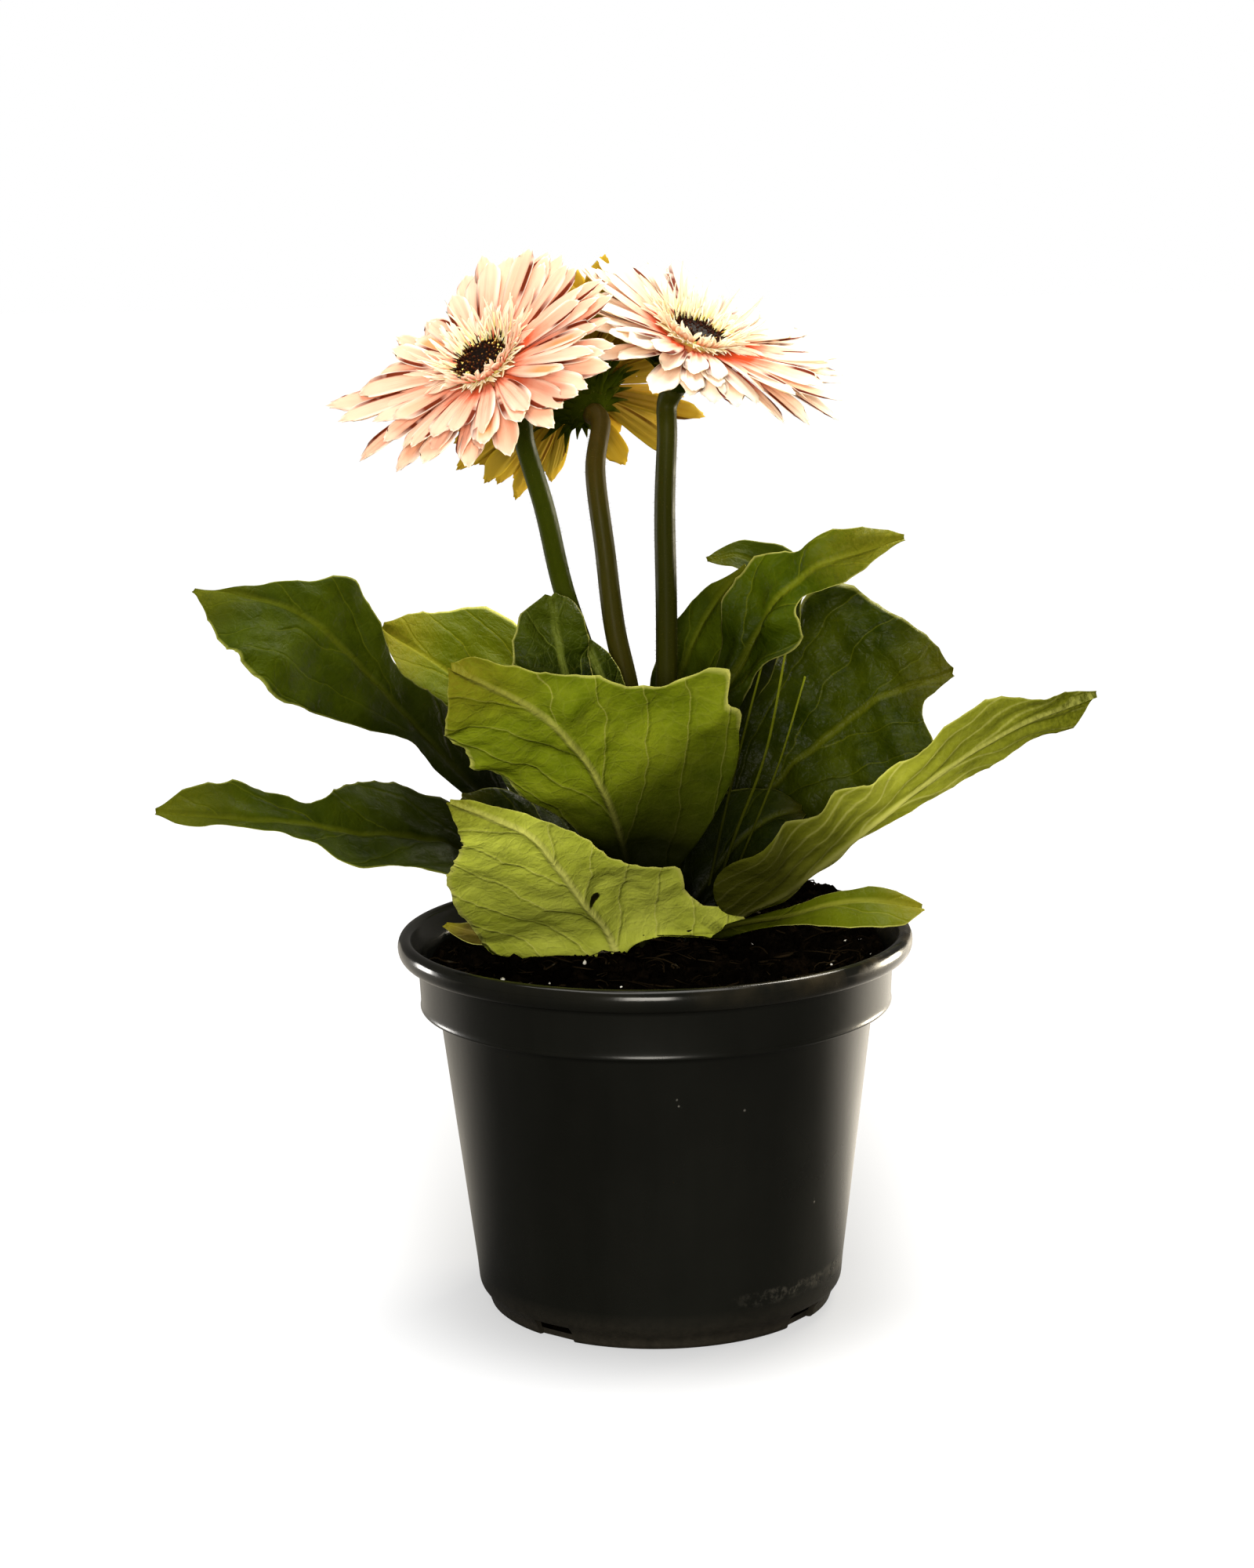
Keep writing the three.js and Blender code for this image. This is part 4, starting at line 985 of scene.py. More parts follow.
# Each ring on the axis shrinks to one point, so the quads around it become triangles
bmesh.ops.remove_doubles(pot_mesh, verts=pot_mesh.verts, dist=1e-7)
bmesh.ops.recalc_face_normals(pot_mesh, faces=pot_mesh.faces)
pot_mesh.to_mesh(pot.data)
pot_mesh.free()
print("pot before the notches:", len(pot.data.polygons), "faces")

# %% Drain notches
DRAIN = dict(count=4, first=53, width=13, depth=9, height=5.5, radius=54)

cutters = bmesh.new()
for i in range(DRAIN["count"]):
    turn = Matrix.Rotation(math.radians(DRAIN["first"] + i * 360 / DRAIN["count"]), 4, "Z")
    place = Matrix.Translation((0, -DRAIN["radius"] * MM, 0))
    size = Matrix.Diagonal((DRAIN["width"] * MM, DRAIN["depth"] * MM, 2 * DRAIN["height"] * MM, 1))
    bmesh.ops.create_cube(cutters, size=1, matrix=turn @ place @ size)
cutter = into_scene("notches", bpy.data.meshes.new("notches"))
cutters.to_mesh(cutter.data)
cutters.free()
cut = pot.modifiers.new("notches", "BOOLEAN")
cut.object, cut.operation, cut.solver = cutter, "DIFFERENCE", "EXACT"
cut_mesh = bpy.data.meshes.new_from_object(pot.evaluated_get(bpy.context.evaluated_depsgraph_get()))
pot.modifiers.clear()
pot.data = cut_mesh
bpy.data.objects.remove(cutter)
pot.data.polygons.foreach_set("use_smooth", np.ones(len(pot.data.polygons), bool))
pot.data.set_sharp_from_angle(angle=math.radians(38))
print("pot faces:", len(pot.data.polygons))

# %% [markdown]
# ## Compost finishes
# Peat compost is a springy mass of brown crumbs, fibres and bits of bark with a little white perlite to keep
# it open. Moist peat drinks light, so it has no gloss. Its loose fibres are a little paler, and in spots much
# paler: partly their own dry colour and partly a painted highlight for wet glints.

# %% Compost finishes
soil_finish, tree, shader = new_finish("peat", Specular_IOR_Level=0.0)
spot = spot_in(tree)
clods, fine = noise_of(spot, 150, 6, Roughness=0.75), noise_of(spot, 900, 4, Roughness=0.7)
earth = clods.ramp(
    (0.3, (0.0004, 0.0003, 0.0002)), (0.52, (0.0014, 0.001, 0.0006)), (0.74, (0.008, 0.005, 0.0025)))
fill(shader, {
    "Base Color": blend(fine * 0.5, earth, (0.0008, 0.0006, 0.0004)),
    "Roughness": noise_of(spot, 60, 3).between(0.4, 0.62, 0.6, 0.95),
})
bump(shader, clods + fine * 0.6, 0.9, 0.9)


def plain_finish(name, colours, colour_scale, bump_scale, detail, strength, depth, **sockets):
    """A finish with cloudy colours and a fine bump, at two scales of noise."""
    material, tree, shader = new_finish(name, **sockets)
    spot = spot_in(tree)
    fill(shader, {"Base Color": noise_of(spot, colour_scale, detail[0]).ramp(*colours)})
    bump(shader, noise_of(spot, bump_scale, detail[1]), strength, depth)
    return material


# the palest fibre colour is partly the fibres' own dry colour and partly a painted highlight for wet glints
fibre_finish = plain_finish(
    "peat fibre", [(0.35, (0.001, 0.0007, 0.0004)), (0.6, (0.012, 0.008, 0.004)), (0.74, (0.16, 0.14, 0.1))],
    70, 1600, (4, 3), 0.6, 0.2, Roughness=0.8, Specular_IOR_Level=0.0)
perlite_finish = plain_finish(
    "perlite", [(0.35, (0.42, 0.4, 0.36)), (0.6, (0.8, 0.79, 0.75))],
    500, 1300, (4, 4), 0.7, 0.3, Roughness=0.85, Specular_IOR_Level=0.2)
print("compost finishes:", soil_finish.name, fibre_finish.name, perlite_finish.name)

# %% [markdown]
# ## Compost form
# The top is a polar grid on the solid's own height, roughened at three sizes. Loose crumbs, fibres and perlite
# are strewn over it, thickest at the edge where watering floats them. They are real lumps and slivers, because
# a bump map stays flat at the rim, where the compost is seen from the side.

# %% Compost heights
SOIL_LEVEL = 105
MOUND = dict(x=40, y=38, height=13, spread=24)
SOIL_SIDES = 210


def soil_height(x, y):
    mound = np.exp(-((x - MOUND["x"]) ** 2 + (y - MOUND["y"]) ** 2) / (2 * MOUND["spread"] ** 2))
    crown = 3 * np.exp(-(x * x + y * y) / 800)
    lumps = 0.9 * np.sin(x * 0.23 + 1.3) * np.sin(y * 0.19 + 0.4)
    return SOIL_LEVEL + MOUND["height"] * mound + crown + lumps + 0.5 * np.sin(x * 0.51 - y * 0.37)


def rough_height(x, y):
    flat = np.stack([x, y, 0 * x], -1)
    return 0.7 * wobble(flat, 9, 3) + 0.5 * wobble(flat, 4.5, 5) + 0.35 * np.abs(wobble(flat, 2.2, 8)) - 0.4


rings = np.concatenate([[69.0, 68.6], np.linspace(68, 0.6, 74)])
angles = np.arange(SOIL_SIDES) * 2 * np.pi / SOIL_SIDES
ring_x, ring_y = rings[:, None] * np.cos(angles), rings[:, None] * np.sin(angles)
fade = np.clip((69.2 - rings) / 3, 0, 1)[:, None]
top_z = soil_height(ring_x, ring_y) + fade * rough_height(ring_x, ring_y)
top_z += 0.5 * fade * np.random.default_rng(4).normal(size=top_z.shape)
BURIED = [(0.01, 1.9), (50, 1.9), (50.5, 4.3), (53.8, 13), (63.2, 92.4), (66, 95.6), (68.6, 98.5)]
below, _ = lathe(BURIED, SOIL_SIDES)
soil_points = np.concatenate([below, np.stack([ring_x, ring_y, top_z], -1).reshape(-1, 3)])
soil_rings = len(soil_points) // SOIL_SIDES
soil_faces = ring_faces(soil_rings, SOIL_SIDES)
soil_faces += [list(range(SOIL_SIDES))[::-1], list(range(len(soil_points) - SOIL_SIDES, len(soil_points)))]
print("compost top:", soil_rings, "rings")

# %% Crumbs
CRUMBS, PERLITES, FIBRES = 3400, 34, 420


def lumps_at(places, sizes, seed):
    """Many small uneven stones or crumbs, each a squashed and dented ball."""
    draw = np.random.default_rng(seed)
    ball = bmesh.new()
    bmesh.ops.create_icosphere(ball, subdivisions=1, radius=1)
    unit_points = np.array([v.co[:] for v in ball.verts])
    unit_faces = np.array([[v.index for v in f.verts] for f in ball.faces])
    ball.free()
    count = len(places)
    shape = draw.uniform(0.55, 1.15, (count, 1, 3))
    shape = shape * (1 + 0.22 * draw.normal(size=(count, len(unit_points), 1)))
    points = places[:, None] + unit_points * shape * sizes[:, None, None]
    faces = unit_faces[None] + (np.arange(count) * len(unit_points))[:, None, None]
    return points.reshape(-1, 3), faces.reshape(-1, 3).tolist()


def on_soil(count, seed, edge_share=0.4, most=67.5):
    draw = np.random.default_rng(seed)
    radius = most * np.sqrt(draw.uniform(0, 1, count))
    at_edge = draw.random(count) < edge_share
    radius[at_edge] = most - np.abs(draw.normal(0, 4, at_edge.sum()))
    angle = draw.uniform(0, 2 * np.pi, count)
    x, y = radius * np.cos(angle), radius * np.sin(angle)
    return np.stack([x, y, soil_height(x, y) + rough_height(x, y)], 1), draw


places, draw = on_soil(CRUMBS, 11)
crumbs = lumps_at(places, draw.gamma(2.2, 0.32, CRUMBS) + 0.3, 12)
print("crumbs:", CRUMBS, "with", len(crumbs[1]), "faces")

# %% Perlite
# Five grains of perlite that lie in plain view have places of their own
places, draw = on_soil(PERLITES, 21, 0.35)
places[:5, :2] = (-45, -25), (-21, -14), (-10, -41), (-31, -34), (52, -20)
places[:5, 2] = soil_height(*places[:5, :2].T) + 0.8
sizes = draw.uniform(0.2, 0.75, PERLITES)
sizes[:5] = 0.9, 0.7, 0.45, 0.4, 0.5
perlite = lumps_at(places + (0, 0, 0.3), sizes, 22)
print("largest grain:", round(2 * sizes.max(), 2), "mm across")

# %% Fibres
places, draw = on_soil(FIBRES, 31, 0.5, 66.5)
heading = draw.uniform(0, 2 * np.pi, (FIBRES, 1))
reach = draw.gamma(3, 1.4, (FIBRES, 1)) + 1.5
s = np.linspace(-1, 1, 6)
turned = heading + 0.9 * draw.normal(size=(FIBRES, 1)) * s
arch = 0.5 + draw.uniform(0.1, 1.6, (FIBRES, 1)) * (1 - s**2) - 0.4 * np.abs(s)
paths = places[:, None] + np.stack([reach * s * np.cos(turned), reach * s * np.sin(turned), arch], -1)
inside = np.hypot(paths[..., 0], paths[..., 1]).max(1) < 69
fibres = tubes(paths[inside], np.broadcast_to(draw.uniform(0.12, 0.4, (FIBRES, 1)), (FIBRES, 6))[inside], 4)
print("fibres:", int(inside.sum()), "of", FIBRES, "lie inside the pot")

# %% Put the compost together
bodies = [(soil_points, soil_faces), crumbs, fibres, perlite]
kinds = np.concatenate([np.full(len(body[1]), kind) for body, kind in zip(bodies, (0, 0, 1, 2))])
finishes = (soil_finish, fibre_finish, perlite_finish)
compost = make_piece("compost", *joined(*bodies), finishes, "compost", kinds)
print("compost faces:", len(compost.data.polygons))

# %% [markdown]
# ## Flower stalk finishes
# A gerbera stalk is a leafless hollow pipe, green at the foot and browner at the neck, with faint ribs. The
# colour runs by how far along the stalk a point lies, and a noise stretched along it gives the streaks.


# %% Stalk finishes
def stalk_finish(name, foot, middle, neck):
    material, tree, shader = new_finish(name, Specular_IOR_Level=0.05)
    spot = spot_in(tree)
    (part,) = marks_of(tree, "part")
    mottle = noise_of(spot, 130, 5, Roughness=0.6)
    streak = noise_of(stretched(spot, 1, 1, 0.08), 900)
    skin = (part + mottle * 0.12).ramp((0.3, foot), (0.5, middle), (0.85, middle), (1.0, neck))
    skin = blend(streak * 0.5, skin, tuple(0.45 * c for c in middle))
    fill(shader, {"Base Color": skin, "Roughness": mottle.between(0.3, 0.7, 0.42, 0.62)})
    bump(shader, streak + mottle * 0.5, 0.5, 0.25)
    return material


SCAPE_FINISHES = {
    "left": stalk_finish("stalk left", (0.06, 0.1, 0.002), (0.03, 0.04, 0.001), (0.03, 0.04, 0.0015)),
    "back": stalk_finish("stalk back", (0.17, 0.23, 0.006), (0.028, 0.025, 0.0015), (0.045, 0.03, 0.003)),
    "right": stalk_finish("stalk right", (0.13, 0.18, 0.004), (0.018, 0.019, 0.0006), (0.026, 0.028, 0.001)),
}
hair_finish = plain_finish(
    "plant hair", [(0.35, (0.04, 0.045, 0.006)), (0.65, (0.11, 0.1, 0.02))],
    300, 2500, (2, 2), 0.3, 0.05, Roughness=0.6, Specular_IOR_Level=0.02)
print("stalk finishes:", ", ".join(SCAPE_FINISHES))

# %% [markdown]
# ## Head and stalk sizes
# Each head has a centre and a direction that it faces. `reach` is how far its petals go at angles around it,
# as a share of the usual length, `bare` holds the stretches without petals, `hang` how many degrees more the
# petals droop at some angles, and `gold` how bright the tips of its eye are. `scape` is the path of its stalk.

# %% Head and stalk sizes
HEADS = {
    "left": dict(
        centre=(-45, -34, 285.8), facing=(-0.43, -0.52, 0.74),
        reach=[
            (0, 1), (30, 0.98), (60, 1.08), (75, 1.12), (95, 1), (115, 0.88), (140, 0.88), (160, 1.05),
            (172, 1.12), (185, 1.06), (200, 0.9), (230, 0.88), (250, 0.93), (270, 1.03), (300, 1.13),
            (315, 1.1), (335, 0.97), (360, 1),
        ],
        scape=[
            (-8.5, 15, 98), (-9, 14, 128), (-12, 11, 160), (-18, 7, 192), (-25.5, 2, 218), (-30, -8, 242),
            (-35, -17, 262),
        ],
    ),
    "back": dict(
        centre=(-22.5, 44.5, 275), facing=(-0.4, 0.75, 0.52), bare=((68, 78), (86, 110)),
        reach=[
            (0, 1.1), (30, 1.2), (50, 1.24), (66, 1.12), (85, 1), (105, 0.85), (118, 1.07), (140, 1), (180, 1),
            (270, 1), (320, 1), (360, 1.1),
        ],
        scape=[
            (-2, 15.5, 98), (-3, 15, 140), (-6, 13, 180), (-10.5, 13, 204), (-13, 16, 227), (-15.5, 21, 250),
        ],
    ),
    "right": dict(
        centre=(14.2, -4, 290.2), facing=(0.37, -0.3, 0.88),
        reach=[
            (0, 1.1), (20, 1.08), (40, 1), (70, 0.96), (100, 1.12), (140, 1.03), (165, 0.95), (180, 0.9),
            (210, 0.96), (240, 1.0), (250, 0.98), (268, 0.82), (285, 0.77), (300, 0.8), (315, 0.95),
            (330, 1.07), (345, 1.08), (360, 1.1),
        ],
        scape=[(3, 9, 98), (4, 7, 150), (5, 3, 205), (5, 1, 240), (6, 0, 262)],
        hang=[(0, 0), (235, 0), (262, 9), (300, 9), (330, 0), (360, 0)], gold=0.3,
    ),
}
GAP = 0.3
NECK = 15.6
SCAPE = dict(foot=3.3, top=2.8, swell=0.7, swell_over=9, sides=32, ribs=8, hairs=2400)
print(len(HEADS), "heads")

# %% [markdown]
# ## Stalk form
# The pipe is one many-sided tube whose radius swells a little below the head. Fine pale hairs cover it and
# catch the light along its edge. A hair system would be quicker to set up, but slivers rooted on the surface
# are part of the mesh, so they go wherever the model goes.


# %% Stalk form
def hairs_on(roots, out, draw, length, radius=0.035):
    """Slivers that stand on the given points and lean a little to all sides."""
    count = len(roots)
    way = unit(out + 0.45 * draw.normal(size=(count, 3)))
    tip = roots + way * (length * draw.uniform(0.5, 1.3, (count, 1)))
    tip[:, 2] -= 0.15 * length * draw.uniform(0, 1, count)
    middle = roots + 0.55 * (tip - roots) + way * 0.08 * length
    paths = np.stack([roots - way * 0.2, middle, tip], 1)
    return tubes(paths, np.array([1.0, 0.7, 0.25]) * radius * np.ones((count, 1)), 3)


def build_scape(name, head, seed):
    facing = unit(np.array(head["facing"], float))
    below = [np.array(head["centre"]) - facing * depth for depth in (NECK + GAP + 6, NECK + GAP)]
    t, rib, _, distance = rib_along([*head["scape"], *below], 1.8)
    from_head = distance[-1] - distance
    radius = SCAPE["foot"] + (SCAPE["top"] - SCAPE["foot"]) * t
    radius = radius + SCAPE["swell"] * np.clip(1 - from_head / SCAPE["swell_over"], 0, 1) ** 1.5
    radius = radius * (1 + 0.02 * wobble(rib, 30, seed))
    sides, count = SCAPE["sides"], SCAPE["hairs"]
    points, faces = tubes(rib[None], radius[None], sides)
    shape = points.reshape(len(rib), sides, 3)
    out = shape - rib[:, None]
    shape += out * 0.022 * np.cos(SCAPE["ribs"] * np.arange(sides) * 2 * np.pi / sides)[:, None]
    draw = np.random.default_rng(seed)
    step, around = draw.integers(8, len(rib) - 1, count), draw.integers(0, sides, count)
    roots = shape[step, around] + (shape[step - 1, around] - shape[step, around]) * draw.random((count, 1))
    hairs = hairs_on(roots, unit(out[step, around]), draw, 0.8, 0.022)
    part = np.concatenate([np.repeat(distance / distance[-1], sides), np.ones(len(hairs[0]))])
    kinds = np.repeat((0, 1), (len(faces), len(hairs[1])))
    finishes = (SCAPE_FINISHES[name], hair_finish)
    bodies = joined((shape.reshape(-1, 3), faces), hairs)
    return make_piece(f"scape_{name}", *bodies, finishes, "scape", kinds, {"part": part})


for number, (name, head) in enumerate(HEADS.items()):
    scape = build_scape(name, head, 40 + number)
    print(scape.name, len(scape.data.polygons), "faces")

# %% [markdown]
# ## Petal finish
# Each petal of a head is a whole small flower, the ray floret. Its upper side is washed with pink over cream:
# strongest towards the foot and in the middle of the blade, and bleached at the margin and tip. Fine lines run
# along it, and some petals have an ochre patch. Each has one dark seam beside a fold, on one half only: a
# painted shade for the shadowed gap between overlapping petals, in the red-brown of the underside. The
# underside is duller and browner. `tint` is one random number a petal, so no two are quite alike.


# %% Petal finish
def petal_finish(name, root, middle, tip, margin, streak, through=0.35, fade=0.9, gap_shade=1.0, patch=None,
                 reddish=0.0):
    material, tree, shader = new_finish(name, Specular_IOR_Level=0.05)
    sheet = node(tree, "UVMap", uv_map="sheet")
    part, edge, tint, side = marks_of(tree, "part", "edge", "tint", "side")
    cloud = noise_of(sheet, 0.12, 4)
    line = noise_of(stretched(sheet, 3.2, 0.09, 1), 1.0, 3, Roughness=0.6)
    place = part + cloud * 0.4 + tint.between(0.6, 0.8) * -0.25 - 0.2
    flesh = place.ramp((reddish, root), (reddish + 0.3, middle), (0.8, tip))
    flesh = blend(line.between(0.5, 0.66) * part.between(0.85, 0.2) * 0.5, flesh, root)
    if patch:
        ragged = (side.calc("ABSOLUTE") + line * 0.5 - 0.25).between(0.62, 0.4)
        some = tint.between(0.3, 0.34) * tint.between(0.44, 0.4)
        spot = ragged * (part.between(0.35, 0.6) * part.between(0.92, 0.8))
        flesh = blend(some * spot * 0.8, flesh, patch)
    bleach = (edge + line * 0.4 - 0.2).between(0.66, 1.0) * part.between(0.15, 0.6)
    flesh = blend(bleach * fade, flesh, margin)
    # painted shade: a dark line along one side of the petal stands for the shadowed gap between overlapping
    # petals
    past_start = part - tint * 0.5
    painted_gap_shade = side.between(0.56, 0.66) * side.between(0.98, 0.91)
    painted_gap_shade = painted_gap_shade * past_start.between(0.08, 0.2) * past_start.between(0.72, 0.45)
    uneven = noise_of(sheet, 0.12, 2).between(0.3, 0.42)
    flesh = blend(painted_gap_shade * uneven * gap_shade, flesh, streak)
    fill(shader, {"Base Color": flesh, "Roughness": cloud.between(0.3, 0.7, 0.5, 0.7)})
    bump(shader, line + cloud * 0.4, 0.45, 0.25)
    let_light_through(shader, through, flesh)
    return material


print("a petal reads its part, edge, tint and side")

# %% Petal colours
CREAM, WHITE = (0.95, 0.86, 0.64), (0.99, 0.95, 0.86)
# the first colour here is the dark red-brown of the painted shade in the gaps between petals
GAP_SHADE_MAROON, OCHRE = (0.16, 0.022, 0.006), (0.66, 0.28, 0.07)
PETAL_FINISHES = {
    "left": (
        petal_finish("petal pink", (0.76, 0.13, 0.05), (0.93, 0.45, 0.31), (0.96, 0.6, 0.45), WHITE, GAP_SHADE_MAROON,
                     patch=OCHRE, fade=0.78),
        petal_finish("petal pink back", (0.5, 0.16, 0.05), (0.74, 0.42, 0.2), (0.9, 0.66, 0.4), CREAM, GAP_SHADE_MAROON),
    ),
    "back": (
        petal_finish("petal ochre", (0.6, 0.3, 0.03), (0.66, 0.42, 0.05), (0.7, 0.5, 0.08), (0.8, 0.62, 0.16),
                     GAP_SHADE_MAROON),
        petal_finish("petal ochre back", (0.24, 0.13, 0.006), (0.46, 0.29, 0.02), (0.62, 0.46, 0.05),
                     (0.74, 0.56, 0.03), (0.22, 0.1, 0.003), 0.45, fade=0.6),
    ),
    "right": (
        petal_finish("petal peach", (0.76, 0.09, 0.025), (0.94, 0.64, 0.46), (0.98, 0.88, 0.76), WHITE, GAP_SHADE_MAROON,
                     reddish=0.08),
        petal_finish("petal peach back", (0.6, 0.2, 0.06), (0.8, 0.5, 0.26), (0.92, 0.74, 0.48), CREAM, GAP_SHADE_MAROON),
    ),
}
FRINGE_COLOURS = {
    "left": ("fringe pink", (0.82, 0.2, 0.1), (0.95, 0.6, 0.44), (0.97, 0.8, 0.66), 0.4),
    "back": ("fringe ochre", (0.6, 0.3, 0.1), (0.85, 0.6, 0.3), (0.9, 0.7, 0.4), 0.3),
    "right": ("fringe cream", (0.8, 0.34, 0.14), (0.97, 0.84, 0.64), (0.98, 0.9, 0.76), 0.4),
}
FRINGE_FINISHES = {
    name: petal_finish(*colours, CREAM, GAP_SHADE_MAROON, gap_shade=gap_shade)
    for name, (*colours, gap_shade) in FRINGE_COLOURS.items()
}
strand_finish = petal_finish(
    "pale strand", (0.6, 0.5, 0.03), (0.95, 0.9, 0.5), (0.98, 0.95, 0.8), CREAM, (0.5, 0.3, 0.06), gap_shade=0.2)
print("petal finishes:", ", ".join(PETAL_FINISHES))

# %% [markdown]
# ## Head parts
# A head is built around its own axis and then turned to face its way. From the outside in it has a green cup
# of bracts, four whorls of broad petals, a crest of short narrow florets, and a dark eye of florets that have
# yet to open. All the blades of a whorl are worked out together as one array. Length, slope, droop, twist and
# spacing all stray a little from petal to petal, since an even head looks like a wheel.

# %% Blade maker
PETAL = [(0, 0.22), (0.1, 0.34), (0.35, 0.76), (0.6, 0.96), (0.75, 1), (0.88, 0.94), (0.96, 0.76), (1, 0.5)]
STRAP = [(0, 0.5), (0.3, 0.8), (0.7, 1), (0.92, 0.7), (1, 0.3)]
BRACT = [(0, 1), (0.35, 1.05), (0.7, 0.5), (1, 0.08)]
HEAD_MARKS = ("part", "edge", "tint", "side")


def closed_blades(middle, thickness, **marks):
    """Closed blades around middle surfaces of shape (blades, stations, columns, 3)."""
    count, rows, columns, _ = middle.shape
    normal = unit(np.cross(np.gradient(middle, axis=1), -np.gradient(middle, axis=2)))
    thin = 0.5 * thickness * np.sqrt(np.clip(1 - marks["edge"] ** 4, 0.06, 1))
    points = np.stack([middle + normal * thin[..., None], middle - normal * thin[..., None]], 1)
    faces, is_under = blade_faces(rows, columns)
    faces = faces[None] + (np.arange(count) * 2 * rows * columns)[:, None, None]
    made = dict(points=points.reshape(-1, 3), faces=faces.reshape(-1, 4), finish=np.tile(is_under, count))
    for label, values in marks.items():
        made[label] = np.repeat(np.broadcast_to(values, middle.shape[:3])[:, None], 2, 1).ravel()
    return made


def head_blades(count, stations, columns, draw, *, root, length, half, rise, droop, height, turn, profile,
                round_tip=0.07, teeth=0.0, groove=0.0, cup=0.0, curl=0.0, twist=0.0, thickness=0.35, bend=0.0):
    """Petals or bracts of one whorl. Angles are in degrees, and each size may be one value for every blade."""
    def each(value):
        return np.broadcast_to(np.asarray(value, float), (count,))[:, None, None]

    s = np.linspace(0, 1, stations)[None, :, None]
    u = np.linspace(1, -1, columns)[None, None, :]
    width = np.interp(s, *zip(*profile)) * each(half)
    part = s - round_tip * np.abs(u) ** 2.2 * s**7 + teeth * np.cos(3 * np.pi * u) * s**12
    slope, fall, tilt = np.radians(each(rise)), np.radians(each(droop)), np.radians(each(twist)) * s
    run = each(length) * part
    radius = each(root) + run * np.cos(slope)
    level = each(height) + run * np.sin(slope) - run * part * np.sin(fall) + each(curl) * part**4
    valley = each(groove) * np.cos(3 * np.pi * u) * np.sin(np.pi * np.clip(s * 0.9 + 0.08, 0, 1))
    cross = width * each(cup) * (u**2 - 0.4) + valley
    across = width * u * np.cos(tilt) - cross * np.sin(tilt) + each(bend) * s**2
    level = level + width * u * np.sin(tilt) + cross * np.cos(tilt)
    angle = each(turn)
    middle = np.stack([
        radius * np.cos(angle) - across * np.sin(angle), radius * np.sin(angle) + across * np.cos(angle),
        level + 0 * across], -1)
    rim = np.maximum(np.abs(u) + 0 * s, np.clip((s - 0.9) * 10, 0, 1) ** 2 + 0 * u)
    tint = draw.random((count, 1, 1))
    side = u * draw.choice((-1, 1), (count, 1, 1)) + 0 * s
    made = closed_blades(middle, thickness, part=part, edge=rim, tint=tint, side=side)
    spread = np.repeat(np.stack(np.broadcast_arrays(width * u, run + 0 * u), -1)[:, None], 2, 1)
    made["sheet"] = (spread + draw.uniform(0, 400, (count, 1, 1, 1, 2))).reshape(-1, 2)
    return made


print("stations of a petal's outline:", len(PETAL))


# %% Place a head
def turn_of(head):
    return np.array(Vector((0, 0, 1)).rotation_difference(Vector(head["facing"])).to_matrix())


def placed(points, head):
    return points @ turn_of(head).T + head["centre"]


def even_turns(count, offset=0.0):
    return (np.arange(count) + offset) * 2 * np.pi / count


def make_head_part(name, blades, bodies, finishes, slot, head):
    """One piece from blades and plain bodies. A body holds points, faces, its finish and its part."""
    for points, faces, finish, part in bodies:
        plain = dict(points=points, faces=faces, finish=np.full(len(faces), finish), sheet=points[:, :2])
        values = dict.fromkeys(HEAD_MARKS, part) | {"side": 0}
        blades.append(plain | {label: np.full(len(points), value) for label, value in values.items()})
    points, faces = joined(*((blade["points"], blade["faces"]) for blade in blades))
    keys = ("finish", "sheet", *HEAD_MARKS)
    finish, sheet, *values = (np.concatenate([blade[key] for blade in blades]) for key in keys)
    marks = dict(zip(HEAD_MARKS, values))
    return make_piece(name, placed(points, head), faces, finishes, slot, finish, marks, sheet)


leans = [math.degrees(math.acos(unit(np.array(head["facing"]))[2])) for head in HEADS.values()]
print("heads lean by", [round(lean) for lean in leans], "degrees")

# %% [markdown]
# ## Petals
# The whorls sit one above the other, each a little shorter and steeper than the one below, and each turned
# by a part of a step so its petals show in the gaps. A small hub closes the middle.

# %% Petals
RAY = dict(root=8.4, tip=43, half=4.7, step=2.4)
WHORL_RISES = (5, 8, 11, 15)
WHORL_TURNS = (0, 0.5, 0.25, 0.75)
PETALS_IN_WHORL = 17


def build_rays(name, head, seed):
    draw = np.random.default_rng(seed)
    sets = []
    for whorl, (rise, offset) in enumerate(zip(WHORL_RISES, WHORL_TURNS)):
        turn = even_turns(PETALS_IN_WHORL, offset)
        bare = head.get("bare", ())
        turn = turn[[not any(a < place < b for a, b in bare) for place in np.degrees(turn)]]
        degrees, n = np.degrees(turn), len(turn)
        tip = RAY["tip"] * np.interp(degrees, *zip(*head["reach"]))
        hang = np.interp(degrees, *zip(*head.get("hang", [(0, 0)])))
        turn = turn + 0.06 * draw.normal(size=n)
        length = (tip - RAY["root"] - RAY["step"] * whorl) * (1 + 0.05 * draw.uniform(-1, 0.8, n))
        sets.append(head_blades(
            n, 14, 11, draw, root=RAY["root"], length=length, half=RAY["half"] * draw.uniform(0.72, 0.96, n),
            rise=rise + 2.2 * draw.normal(size=n), droop=3 + 3 * draw.normal(size=n) + hang,
            height=-1 + 0.4 * whorl, turn=turn, profile=PETAL, round_tip=0.09, teeth=0.012,
            groove=draw.uniform(0.2, 0.42, n), cup=draw.uniform(-0.1, 0.32, n), curl=draw.uniform(-1.6, 1.2, n),
            twist=9 * draw.normal(size=n), bend=1.2 * draw.normal(size=n),
        ))
    hub = lathe([(0.01, -1.5), (10.2, -1.5), (9.8, 0.6), (0.01, 0.6)], 40)
    return make_head_part(f"rays_{name}", sets, [(*hub, 1, 0.0)], PETAL_FINISHES[name], "ray", head)


print("petals in a full head:", PETALS_IN_WHORL * len(WHORL_RISES))

